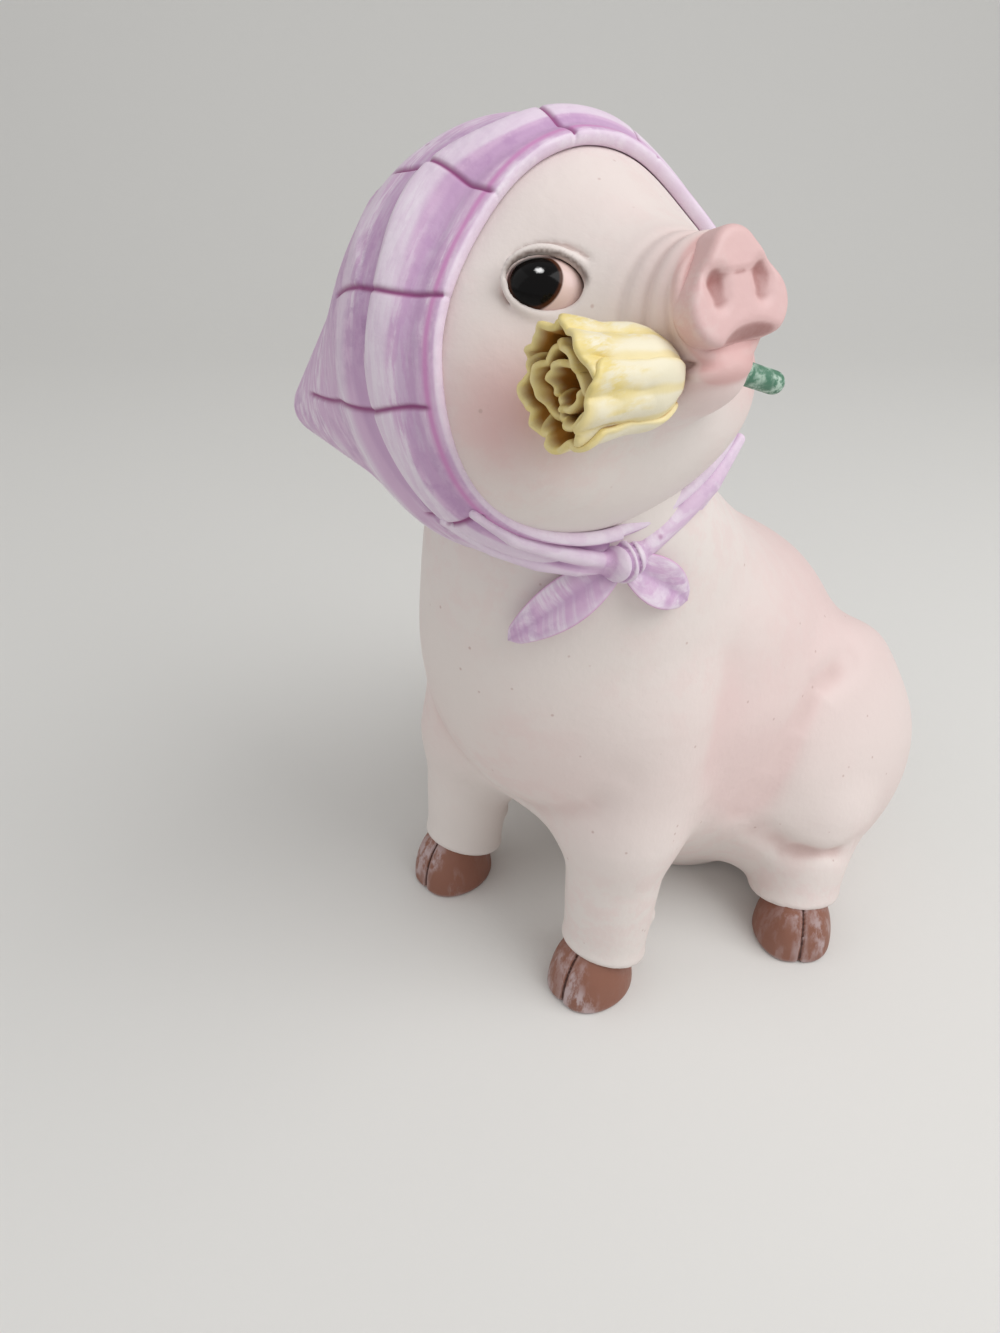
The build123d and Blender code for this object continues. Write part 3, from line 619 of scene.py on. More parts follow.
def brushed_paint_group():
    """Uneven hand-brushed colour: broad clouds and fine strokes of a second colour."""
    nodes, given, out = new_group("Brushed paint", (
        ("Color", "NodeSocketColor", (1, 1, 1, 1)), ("Stroke Color", "NodeSocketColor", (1, 1, 1, 1)),
        ("Vector", "NodeSocketVector", (0, 0, 0)), ("Stroke Scale", "NodeSocketFloat", 200.0),
        ("Cloud Scale", "NodeSocketFloat", 40.0), ("Amount", "NodeSocketFloat", 0.5)),
        (("Color", "NodeSocketColor"), ("Strokes", "NodeSocketFloat")))
    clouds = nodes.add("ShaderNodeTexNoise", {"Vector": given["Vector"], "Scale": given["Cloud Scale"],
                                              "Detail": 3.0}).outputs["Fac"]
    strokes = nodes.add("ShaderNodeTexNoise", {"Vector": given["Vector"], "Scale": given["Stroke Scale"],
                                               "Detail": 5.0, "Roughness": 0.65}).outputs["Fac"]
    joined = nodes.math("MULTIPLY", nodes.ramp(clouds, 0.38, 0.62), nodes.ramp(strokes, 0.42, 0.6))
    share = nodes.math("MULTIPLY", joined, given["Amount"], clamp=True)
    nodes.feed(out["Color"], nodes.mix(share, given["Color"], given["Stroke Color"]))
    nodes.feed(out["Strokes"], strokes)


def relief_paint_group():
    """Dark paint in the folds and pale paint over the ridges of a cast surface: a wash and dry brush on the cloth
    and the hooves, painted shade in the creases of the skin, painted shadow under the snout.
    """
    nodes, given, out = new_group("Relief paint", (
        ("Color", "NodeSocketColor", (1, 1, 1, 1)), ("Fold Color", "NodeSocketColor", (0, 0, 0, 1)),
        ("Ridge Color", "NodeSocketColor", (1, 1, 1, 1)), ("Folds", "NodeSocketFloat", 0.5),
        ("Ridges", "NodeSocketFloat", 0.5), ("Break Up", "NodeSocketFloat", 0.5),
        ("Relief", "NodeSocketFloat", 0.0)), (("Color", "NodeSocketColor"),))
    uneven = nodes.math("MULTIPLY_ADD", given["Break Up"], 0.9)
    uneven.node.inputs[2].default_value = 0.55
    fold = nodes.ramp(nodes.math("MULTIPLY", given["Relief"], -1.0), 0.02, 0.9)
    ridge = nodes.ramp(given["Relief"], 0.05, 0.9)
    fold_share = nodes.math("MULTIPLY", nodes.math("MULTIPLY", fold, given["Folds"]), uneven, clamp=True)
    ridge_share = nodes.math("MULTIPLY", nodes.math("MULTIPLY", ridge, given["Ridges"]), uneven, clamp=True)
    washed = nodes.mix(fold_share, given["Color"], given["Fold Color"])
    nodes.feed(out["Color"], nodes.mix(ridge_share, washed, given["Ridge Color"]))


def specks_group():
    """Small scattered specks of dirt in the paint."""
    nodes, given, out = new_group("Paint specks", (
        ("Color", "NodeSocketColor", (1, 1, 1, 1)), ("Speck Color", "NodeSocketColor", (0, 0, 0, 1)),
        ("Vector", "NodeSocketVector", (0, 0, 0)), ("Scale", "NodeSocketFloat", 300.0),
        ("Amount", "NodeSocketFloat", 0.5)), (("Color", "NodeSocketColor"),))
    cells = nodes.add("ShaderNodeTexVoronoi", {"Vector": given["Vector"], "Scale": given["Scale"]})
    dot = nodes.ramp(cells.outputs["Distance"], 0.2, 0.08)
    pick = nodes.add("ShaderNodeSeparateColor", {"Color": cells.outputs["Color"]}).outputs[0]
    share = nodes.math("MULTIPLY", nodes.math("MULTIPLY", dot, nodes.math("GREATER_THAN", pick, 0.93)),
                       given["Amount"])
    nodes.feed(out["Color"], nodes.mix(share, given["Color"], given["Speck Color"]))


def resin_grain_group():
    """Slight unevenness of cast resin under brushed paint."""
    nodes, given, out = new_group("Resin grain", (
        ("Vector", "NodeSocketVector", (0, 0, 0)), ("Scale", "NodeSocketFloat", 500.0)),
        (("Height", "NodeSocketFloat"), ("Gloss", "NodeSocketFloat")))
    fine = nodes.add("ShaderNodeTexNoise", {"Vector": given["Vector"], "Scale": given["Scale"],
                                            "Detail": 4.0}).outputs["Fac"]
    broad = nodes.add("ShaderNodeTexNoise", {"Vector": given["Vector"], "Scale": 120.0,
                                             "Detail": 2.0}).outputs["Fac"]
    height = nodes.math("ADD", nodes.math("MULTIPLY", fine, 0.35), nodes.math("MULTIPLY", broad, 0.65))
    nodes.feed(out["Height"], height)
    nodes.feed(out["Gloss"], nodes.ramp(broad, 0.3, 0.75))


def new_finish(name, roughness, bump_height, coat=0.0):
    """A material with a shader, Object coordinates, and resin grain on its bump and roughness."""
    material = bpy.data.materials.new(name)
    material.use_nodes = True
    material.node_tree.nodes.clear()
    nodes = NodeTree(material.node_tree)
    where = nodes.add("ShaderNodeTexCoord").outputs["Object"]
    shader = nodes.add("ShaderNodeBsdfPrincipled", {"Coat Weight": coat, "Coat Roughness": 0.12})
    nodes.add("ShaderNodeOutputMaterial", {"Surface": shader.outputs[0]})
    grain = nodes.group("Resin grain", {"Vector": where})
    bump = nodes.add("ShaderNodeBump", {"Height": grain["Height"], "Distance": bump_height, "Strength": 1.0})
    nodes.feed(shader.inputs["Normal"], bump.outputs[0])
    low, high = roughness
    spread = nodes.add("ShaderNodeMapRange", {"Value": grain["Gloss"], "To Min": low, "To Max": high})
    nodes.feed(shader.inputs["Roughness"], spread.outputs["Result"])
    return material, nodes, where, shader


def skin_finish(colours):
    """Cream paint with pink sprayed into it, for the body and the head."""
    material, nodes, where, shader = new_finish("skin_paint_finish", (0.5, 0.62), 0.0003)
    uneven = nodes.group("Brushed paint", {"Color": colours.skin, "Stroke Color": colours.flush, "Vector": where,
                                           "Stroke Scale": 160.0, "Cloud Scale": 26.0, "Amount": 0.35})
    flushed = nodes.mix(nodes.value("flush"), uneven["Color"], colours.flush)
    blushed = nodes.mix(nodes.value("blush"), flushed, colours.blush)
    lipped = nodes.mix(nodes.value("lip"), blushed, colours.lip)
    # Folds darkened with painted shade, ridges paled back to the cream
    relief = nodes.group("Relief paint", {"Color": lipped, "Fold Color": colours.shade,
                                          "Ridge Color": colours.skin, "Folds": 0.5, "Ridges": 0.3,
                                          "Break Up": uneven["Strokes"], "Relief": nodes.value("relief")})
    specks = nodes.group("Paint specks", {"Color": relief["Color"], "Speck Color": colours.shade,
                                          "Vector": where, "Scale": 420.0, "Amount": 0.6})
    # Dark brown along the upper lids: a painted lid line and painted shade under the lids
    nodes.feed(shader.inputs["Base Color"], nodes.mix(nodes.value("lid_line_and_shade"), specks["Color"], colours.iris_rim))
    return material


def snout_finish(colours):
    """Pink of the snout, darker in the nostrils, with painted shadow under its lower edge."""
    material, nodes, where, shader = new_finish("snout_paint_finish", (0.42, 0.56), 0.0003)
    uneven = nodes.group("Brushed paint", {"Color": colours.snout, "Stroke Color": colours.skin, "Vector": where,
                                           "Stroke Scale": 260.0, "Cloud Scale": 60.0, "Amount": 0.3})
    relief = nodes.group("Relief paint", {"Color": uneven["Color"], "Fold Color": colours.nostril,
                                          "Ridge Color": colours.skin, "Folds": 0.9, "Ridges": 0.25,
                                          "Break Up": uneven["Strokes"], "Relief": nodes.value("relief")})
    specks = nodes.group("Paint specks", {"Color": relief["Color"], "Speck Color": colours.nostril,
                                          "Vector": where, "Scale": 220.0, "Amount": 0.5})
    nodes.feed(shader.inputs["Base Color"], specks["Color"])
    return material


def cloth_finish(colours):
    """Lavender paint with strokes along the folds, a magenta rim and dark pressed lines."""
    material, nodes, where, shader = new_finish("kerchief_paint_finish", (0.46, 0.6), 0.0004)
    drawn = nodes.add("ShaderNodeUVMap", uv_map="cloth").outputs[0]
    along = nodes.add("ShaderNodeMapping", {"Vector": drawn, "Scale": (0.16, 1.0, 1.0)}).outputs[0]
    strokes = nodes.group("Brushed paint", {"Color": colours.cloth, "Stroke Color": colours.cloth_dry,
                                            "Vector": along, "Stroke Scale": 900.0, "Cloud Scale": 120.0,
                                            "Amount": 0.75})
    washed = nodes.group("Brushed paint", {"Color": strokes["Color"], "Stroke Color": colours.cloth_wash,
                                           "Vector": where, "Stroke Scale": 330.0, "Cloud Scale": 55.0,
                                           "Amount": 0.5})
    relief = nodes.group("Relief paint", {"Color": washed["Color"], "Fold Color": colours.cloth_wash,
                                          "Ridge Color": colours.cloth_dry, "Folds": 0.5, "Ridges": 0.6,
                                          "Break Up": strokes["Strokes"], "Relief": nodes.value("relief")})
    rimmed = nodes.mix(nodes.value("rim"), relief["Color"], colours.cloth_rim)
    lined = nodes.mix(nodes.value("line"), rimmed, colours.cloth_line)
    specks = nodes.group("Paint specks", {"Color": lined, "Speck Color": colours.cloth_line,
                                          "Vector": where, "Scale": 240.0, "Amount": 0.55})
    nodes.feed(shader.inputs["Base Color"], specks["Color"])
    return material


def hoof_finish(colours):
    """Brown paint with a dusty dry brush and a dark cleft."""
    material, nodes, where, shader = new_finish("hoof_paint_finish", (0.45, 0.62), 0.0005)
    stretched = nodes.add("ShaderNodeMapping", {"Vector": where, "Scale": (1.0, 1.0, 0.35)}).outputs[0]
    amount = nodes.math("MULTIPLY_ADD", nodes.value("toe"), 0.95)
    amount.node.inputs[2].default_value = 0.15
    dusty = nodes.group("Brushed paint", {"Color": colours.hoof, "Stroke Color": colours.hoof_dry,
                                          "Vector": stretched, "Stroke Scale": 420.0, "Cloud Scale": 110.0,
                                          "Amount": amount})
    relief = nodes.group("Relief paint", {"Color": dusty["Color"], "Fold Color": colours.hoof_wash,
                                          "Ridge Color": colours.hoof_dry, "Folds": 1.2, "Ridges": 0.7,
                                          "Break Up": dusty["Strokes"], "Relief": nodes.value("relief")})
    nodes.feed(shader.inputs["Base Color"], relief["Color"])
    return material


def eye_finish(colours):
    """Glossy black eye with a brown rim, a pale pink corner and a painted highlight."""
    material, nodes, where, shader = new_finish("eye_gloss_finish", (0.1, 0.18), 0.00005)
    far = nodes.value("iris")
    uneven = nodes.group("Brushed paint", {"Color": colours.sclera, "Stroke Color": colours.flush, "Vector": where,
                                           "Stroke Scale": 500.0, "Cloud Scale": 120.0, "Amount": 0.6})
    ringed = nodes.mix(nodes.ramp(far, 1.06, 0.98), uneven["Color"], colours.iris_rim)
    dark = nodes.mix(nodes.ramp(far, 0.95, 0.84), ringed, colours.iris)
    # White dot of painted highlight over the iris
    nodes.feed(shader.inputs["Base Color"], nodes.mix(nodes.value("painted_highlight"), dark, colours.painted_highlight))
    shader.inputs["Specular IOR Level"].default_value = 0.16
    return material


def rose_finish(colours):
    """Creamy petals with yellow edges and ochre between them."""
    material, nodes, where, shader = new_finish("rose_paint_finish", (0.45, 0.6), 0.0004)
    stretched = nodes.add("ShaderNodeMapping", {"Vector": where, "Scale": (1.0, 0.3, 1.0)}).outputs[0]
    brushed = nodes.group("Brushed paint", {"Color": colours.petal, "Stroke Color": colours.petal_edge,
                                            "Vector": stretched, "Stroke Scale": 520.0, "Cloud Scale": 150.0,
                                            "Amount": 1.2})
    valleys = nodes.math("MULTIPLY", nodes.ramp(nodes.value("ridge"), 0.2, -0.9), 0.55)
    streaked = nodes.mix(valleys, brushed["Color"], colours.petal_edge)
    edged = nodes.mix(nodes.value("edge"), streaked, colours.petal_edge)
    deep = nodes.mix(nodes.value("depth"), edged, colours.petal_depth)
    nodes.feed(shader.inputs["Base Color"], deep)
    return material


def stem_finish(colours):
    """Green paint with a pale dry brush."""
    material, nodes, where, shader = new_finish("stem_paint_finish", (0.4, 0.55), 0.0003)
    brushed = nodes.group("Brushed paint", {"Color": colours.stem, "Stroke Color": colours.stem_dry,
                                            "Vector": where, "Stroke Scale": 700.0, "Cloud Scale": 200.0,
                                            "Amount": 1.3})
    nodes.feed(shader.inputs["Base Color"], brushed["Color"])
    return material


def plug_finish(colours):
    """Grey rubber of the stopper in the seat."""
    material, nodes, where, shader = new_finish("plug_rubber_finish", (0.6, 0.8), 0.0002)
    specks = nodes.group("Paint specks", {"Color": colours.plug, "Speck Color": colours.shade,
                                          "Vector": where, "Scale": 400.0, "Amount": 0.6})
    nodes.feed(shader.inputs["Base Color"], specks["Color"])
    return material


FINISHES = {"skin_paint": skin_finish, "snout_paint": snout_finish, "kerchief_paint": cloth_finish,
            "hoof_paint": hoof_finish, "eye_gloss": eye_finish, "rose_paint": rose_finish,
            "stem_paint": stem_finish, "plug_rubber": plug_finish}


def finish(slot):
    """The material of a paint slot, made once with the groups that it uses."""
    if "Resin grain" not in bpy.data.node_groups:
        brushed_paint_group()
        relief_paint_group()
        specks_group()
        resin_grain_group()
    if f"{slot}_finish" not in bpy.data.materials:
        FINISHES[slot](bpy.context.scene.pig.colours)
    return bpy.data.materials[f"{slot}_finish"]


# Body

class Foot:
    """One foot: its frame on the floor, and the slanted edge where the skin meets the hoof."""

    def __init__(self, sizes, middle, heading):
        ahead = np.array((math.sin(heading), -math.cos(heading), 0.0))
        across = np.cross(UP, ahead)
        self.frame = LocalFrame(middle, (ahead, across, UP))
        self.ankle = self.frame.out((-sizes.hoof_lead, 0.0, sizes.coronet_height))
        self.up = math.cos(sizes.coronet_slope) * UP - math.sin(sizes.coronet_slope) * ahead

    def above_coronet(self, points):
        """Height of points over the slanted edge."""
        return (points - self.ankle) @ self.up


def all_feet(sizes):
    """The four feet by the name of their leg."""
    feet = {}
    for name, side in SIDES:
        feet[f"front_{name}"] = Foot(sizes, mirrored(sizes.front_foot, side), 0.0)
        feet[f"hind_{name}"] = Foot(sizes, mirrored(sizes.hind_foot, side), side * sizes.hind_turn)
    return feet


# Creases of the skin on the pig's left: depth, half width and the line that they follow
SKIN_CREASES = (
    (0.0030, 0.0042, ((0.045, 0.006, 0.077), (0.0455, -0.008, 0.075), (0.047, -0.017, 0.066),
                      (0.0465, -0.024, 0.055), (0.044, -0.029, 0.045))),
    (0.0026, 0.0036, ((0.045, -0.024, 0.036), (0.050, -0.018, 0.030), (0.061, -0.003, 0.029))),
    (0.0018, 0.0070, ((0.037, -0.037, 0.106), (0.042, -0.044, 0.078), (0.041, -0.046, 0.057))),
    (0.0016, 0.0048, ((-0.012, -0.071, 0.048), (0.010, -0.0715, 0.052), (0.027, -0.072, 0.064),
                      (0.032, -0.069, 0.073))),
    (0.0038, 0.0125, ((0.0445, -0.033, 0.032), (0.0465, -0.032, 0.056), (0.045, -0.028, 0.078))))


class BodyForm:
    """The torso and legs as one soft casting."""

    def __init__(self, sizes):
        self.sizes = sizes
        self.feet = all_feet(sizes)

    def torso(self, points):
        sizes = self.sizes
        height = points[..., 2] / sizes.torso_height
        level = {}
        for key, shares, scale in (("front", STATION_FRONT_SHARES, sizes.torso_depth),
                                   ("back", STATION_BACK_SHARES, sizes.torso_depth),
                                   ("half", STATION_WIDTH_SHARES, sizes.torso_half_width),
                                   ("shift", STATION_SHIFT_SHARES, sizes.neck_shift)):
            level[key] = scale * smooth_through(STATION_HEIGHT_SHARES, shares, height)
        across = points[..., 0] - level["shift"]
        along = points[..., 1] - (level["front"] + level["back"]) / 2
        deep = (level["back"] - level["front"]) / 2
        near = np.hypot(across / level["half"], along / deep)
        slope = np.hypot(across / level["half"] ** 2, along / deep ** 2)
        side_field = near * (near - 1.0) / np.maximum(slope, 1e-9)
        ends = np.maximum(points[..., 2] - sizes.torso_height, -points[..., 2])
        return soft_common(side_field, ends, 0.002)

    def ankle_cuff(self, points, field, foot):
        """A leg cut off at the hoof, with a slight roll of skin at the edge."""
        height = foot.above_coronet(points)
        rolled = field - 0.0007 * np.exp(-(height / 0.003) ** 2)
        return soft_common(rolled, -height, 0.0016)

    def front_leg(self, points, name, side):
        sizes = self.sizes
        foot = self.feet[f"front_{name}"]
        ankle = foot.ankle
        knee, shoulder = mirrored(sizes.knee, side), mirrored(sizes.shoulder, side)
        shank = cone_field(points, ankle, knee, sizes.ankle_radius, sizes.knee_radius)
        arm = cone_field(points, knee, shoulder, sizes.knee_radius, sizes.shoulder_radius)
        field = soft_union(shank, arm, 0.006)
        for angle in (-0.7, 0.7):
            nub = foot.frame.out((-sizes.hoof_lead - sizes.ankle_radius * math.cos(angle),
                                  sizes.ankle_radius * math.sin(angle), sizes.dewclaw_height))
            bump = cone_field(points, nub, nub + 0.1 * sizes.dewclaw_radius * UP, sizes.dewclaw_radius,
                              sizes.dewclaw_radius)
            field = soft_union(field, bump, 0.0012)
        return self.ankle_cuff(points, field, foot)

    def hind_leg(self, points, name, side):
        sizes = self.sizes
        foot = self.feet[f"hind_{name}"]
        haunch = ellipsoid_field(points, mirrored(sizes.haunch, side), sizes.haunch_radii)
        thigh = ellipsoid_field(points, mirrored(sizes.thigh, side), sizes.thigh_radii)
        haunch = soft_union(haunch, thigh, 0.012)
        shank = cone_field(points, foot.ankle, mirrored(sizes.shank_top, side), sizes.shank_radius,
                           sizes.shank_top_radius)
        shank = self.ankle_cuff(points, shank, foot)
        return soft_union(haunch, shank, 0.006)

    def members(self, points):
        """Fields of the torso and the four legs, by node name."""
        fields = {"torso": self.torso(points)}
        for name, side in SIDES:
            fields[f"front_leg_{name}"] = self.front_leg(points, name, side)
            fields[f"hind_leg_{name}"] = self.hind_leg(points, name, side)
        return fields

    def skin(self, points):
        """The whole casting."""
        fields = self.members(points)
        field = fields["torso"]
        for name, side in SIDES:
            field = soft_union(field, fields[f"front_leg_{name}"], self.sizes.leg_blend)
            field = soft_union(field, fields[f"hind_leg_{name}"], self.sizes.haunch_blend)
        return np.maximum(field + self.creases(points), -points[..., 2])

    def creases(self, points):
        """Depth of the creases of skin, the same on both sides."""
        folded = np.stack([np.abs(points[..., 0]), points[..., 1], points[..., 2]], -1)
        total = np.zeros(folded.shape[:-1])
        for depth, wide, line in SKIN_CREASES:
            gap = chain_field(folded, np.array(line), np.zeros(len(line)))
            fade = 1.0
            for end in (line[0], line[-1]):
                fade = fade * (0.4 + 0.6 * ease(np.linalg.norm(folded - np.array(end), axis=-1), 0.0, 2.0 * wide))
            total = total + depth * fade * np.exp(-(gap / wide) ** 2)
        return total


def glow(points, centre, radius):
    """Soft round spot of paint."""
    gap = np.linalg.norm(points - np.asarray(centre, float), axis=-1)
    return np.exp(-(gap / radius) ** 2)


# Pink areas of the body: place on the pig's left, radius and strength
FLUSH_SPOTS = (((0.030, 0.020, 0.085), 0.040, 0.75), ((0.040, -0.035, 0.075), 0.030, 0.5),
               ((0.050, 0.020, 0.020), 0.028, 0.5), ((0.022, -0.080, 0.070), 0.022, 0.4),
               ((0.0, 0.0, 0.115), 0.035, 0.45))


def build_body():
    """Torso and legs: one casting, parted into its five nodes."""
    form = BodyForm(bpy.context.scene.pig.body)
    low = np.array(cad_box[0]) - 0.004
    high = np.array((cad_box[1][0], cad_box[1][1], torso_high.z)) + 0.004
    vertices, quads, normals = cast(form.skin, low, high, form.sizes.skin_step)
    middles = vertices[quads].mean(1)
    fields = form.members(middles)
    names = list(fields)
    owner = np.argmin(np.stack([fields[name] for name in names]), 0)
    material = finish("skin_paint")
    for number_, name in enumerate(names):
        points, faces, arrows = cut_out(vertices, quads, normals, owner == number_)
        relief = np.clip(curve_of(form.skin, points, 0.0020) / 700.0, -1, 1)
        mirrored_points = points * np.array((1.0, 1.0, 1.0))
        mirrored_points[:, 0] = np.abs(mirrored_points[:, 0])
        flush = sum(strength * glow(mirrored_points, centre, radius) for centre, radius, strength in FLUSH_SPOTS)
        # Pink deepened along the skin's creases: pink paint, partly painted shade in the creases
        flush = flush + 0.7 * ease(form.creases(points), 0.0010, 0.0034)
        none = np.zeros(len(points))
        piece = new_piece(f"{name}_skin", points, faces, material,
                          {"relief": relief, "flush": np.clip(flush, 0, 0.85), "blush": none, "lip": none}, arrows)
        hand_over(piece, "skin_paint", name)


def build_hooves():
    """Rounded hooves under the four legs, each with a thin cleft."""
    sizes = bpy.context.scene.pig.body
    radii = np.array((sizes.hoof_length / 2, sizes.hoof_width / 2, sizes.hoof_height))
    for name, foot in all_feet(sizes).items():
        def field(points):
            spot = foot.frame.into(points)
            form = ellipsoid_field(spot, (-0.0014, 0.0, 0.0), radii * np.array((0.90, 0.90, 1.0)))
            for side in (-1, 1):
                toe = ellipsoid_field(spot, (0.0017, side * 0.25 * radii[1], 0.0),
                                      (radii[0] * 0.70, radii[1] * 0.56, radii[2] * 0.86))
                form = soft_union(form, toe, 0.0030)
            wide = sizes.cleft_width * (1.0 - 0.6 * np.clip(spot[..., 2] / sizes.hoof_height, 0.0, 1.0))
            groove = np.maximum(np.abs(spot[..., 1]) - wide / 2, -form - sizes.cleft_depth)
            groove = np.maximum(groove, 0.002 - spot[..., 0])
            form = soft_cut(form, groove, 0.0009)
            top = soft_common(form, foot.above_coronet(points) - 0.003, 0.001)
            return soft_common(top, -spot[..., 2], 0.0012)

        middle = foot.frame.origin
        reach = np.array((0.016, 0.016, 0.0))
        vertices, quads, normals = cast(field, middle - reach - 0.001 * UP, middle + reach + 0.022 * UP,
                                        sizes.hoof_step)
        relief = np.clip(curve_of(field, vertices, 0.0008) / 1800.0, -1, 1)
        toe_front = ease(foot.frame.into(vertices)[:, 0], 0.001, 0.010)
        piece = new_piece(f"{name}_hoof_shell", vertices, quads, finish("hoof_paint"),
                          {"relief": relief, "toe": toe_front}, normals)
        hand_over(piece, "hoof_paint", f"{name}_hoof")


# Geometry nodes

class GeometryTree(NodeTree):
    """A geometry node tree with named inputs."""

    def __init__(self, name):
        super().__init__(bpy.data.node_groups.new(name, "GeometryNodeTree"))
        self.tree.interface.new_socket("Geometry", in_out="OUTPUT", socket_type="NodeSocketGeometry")
        self.identifiers = {}

    def input(self, label, kind, default):
        socket = self.tree.interface.new_socket(label, in_out="INPUT", socket_type=kind)
        if default is not None:
            socket.default_value = default
        self.identifiers[label] = socket.identifier
        return socket

    def compute(self, operation, first, second=0.0, third=0.0):
        return self.add("ShaderNodeMath", {0: first, 1: second, 2: third}, operation=operation).outputs[0]


def grown(name, tree, values):
    """Mesh that a geometry tree makes with these input values."""
    holder = bpy.data.objects.new(name, bpy.data.meshes.new(name))
    bpy.context.scene.collection.objects.link(holder)
    modifier = holder.modifiers.new("grow", "NODES")
    modifier.node_group = tree.tree
    for label, value in values.items():
        modifier[tree.identifiers[label]] = value
    bpy.context.view_layer.update()
    ready = holder.evaluated_get(bpy.context.evaluated_depsgraph_get())
    mesh = bpy.data.meshes.new_from_object(ready)
    bpy.data.objects.remove(holder)
    return mesh


def tail_tree():
    """A tapered tube along a spiral."""
    tree = GeometryTree("Curled tail")
    for label, default in (("Turns", 1.3), ("Curl Radius", 0.005), ("Reach", 0.008), ("Radius", 0.0026)):
        tree.input(label, "NodeSocketFloat", default)
    tree.input("Material", "NodeSocketMaterial", None)
    given = tree.add("NodeGroupInput").outputs
    spiral = tree.add("GeometryNodeCurveSpiral", {"Resolution": 64, "Rotations": given["Turns"],
                                                  "Start Radius": given["Curl Radius"],
                                                  "End Radius": given["Curl Radius"],
                                                  "Height": given["Reach"]}).outputs[0]
    share = tree.add("GeometryNodeSplineParameter").outputs["Factor"]
    thinning = tree.compute("SUBTRACT", 1.0, tree.compute("MULTIPLY", share, 0.55))
    tapered = tree.add("GeometryNodeSetCurveRadius", {"Curve": spiral, "Radius": thinning}).outputs[0]
    ring = tree.add("GeometryNodeCurvePrimitiveCircle", {"Resolution": 28, "Radius": given["Radius"]}).outputs[0]
    tube = tree.add("GeometryNodeCurveToMesh", {"Curve": tapered, "Profile Curve": ring, "Fill Caps": True})
    smooth = tree.add("GeometryNodeSetShadeSmooth", {"Geometry": tube.outputs[0]}).outputs[0]
    real = tree.add("GeometryNodeRealizeInstances", {"Geometry": smooth}).outputs[0]
    painted = tree.add("GeometryNodeSetMaterial", {"Geometry": real, "Material": given["Material"]}).outputs[0]
    tree.add("NodeGroupOutput", {"Geometry": painted})
    return tree


def mesh_points(mesh):
    """Vertex places of a mesh."""
    points = np.zeros(len(mesh.vertices) * 3)
    mesh.vertices.foreach_get("co", points)
    return points.reshape(-1, 3)


def set_points(mesh, points):
    """New vertex places for a mesh."""
    mesh.vertices.foreach_set("co", np.asarray(points, float).ravel())
    mesh.update()


def add_values(mesh, **layers):
    """Named vertex values for a mesh."""
    for key, values in layers.items():
        layer = mesh.attributes.new(key, "FLOAT", "POINT")
        layer.data.foreach_set("value", np.asarray(values, np.float32))


def build_tail():
    """Curled tail on the rump."""
    sizes = bpy.context.scene.pig.body
    mesh = grown("tail_curl", tail_tree(), {
        "Turns": sizes.tail_turns, "Curl Radius": sizes.tail_curl_radius,
        "Reach": sizes.tail_turns * sizes.tail_pitch, "Radius": sizes.tail_radius,
        "Material": finish("skin_paint")})
    points = mesh_points(mesh)
    root = Vector(((tail_low.x + tail_high.x) / 2, tail_high.y, (tail_low.z + tail_high.z) / 2))
    points = np.stack([points[:, 0] + root.x, points[:, 2], points[:, 1] + root.z], 1)
    points[:, 1] += tail_high.y - points[:, 1].max()
    set_points(mesh, points)
    mesh.flip_normals()
    size = len(points)
    add_values(mesh, relief=np.zeros(size), flush=np.full(size, 0.6), blush=np.zeros(size), lip=np.zeros(size))
    piece = bpy.data.objects.new("tail_curl", mesh)
    bpy.context.scene.collection.objects.link(piece)
    hand_over(piece, "skin_paint", "tail")


# Head

class EyePlace:
    """Where one eye sits on the skull, in head coordinates."""

    def __init__(self, head, side):
        self.side = side
        out = unit((0.843, -0.487, 0.235) if side < 0 else (0.83, 0.53, 0.16))
        ahead = unit(np.array((1.0, 0.0, 0.0)) - out[0] * out)
        above = np.cross(ahead, out) * side
        self.frame = LocalFrame(out * head.skull_radius, (ahead, above, out))


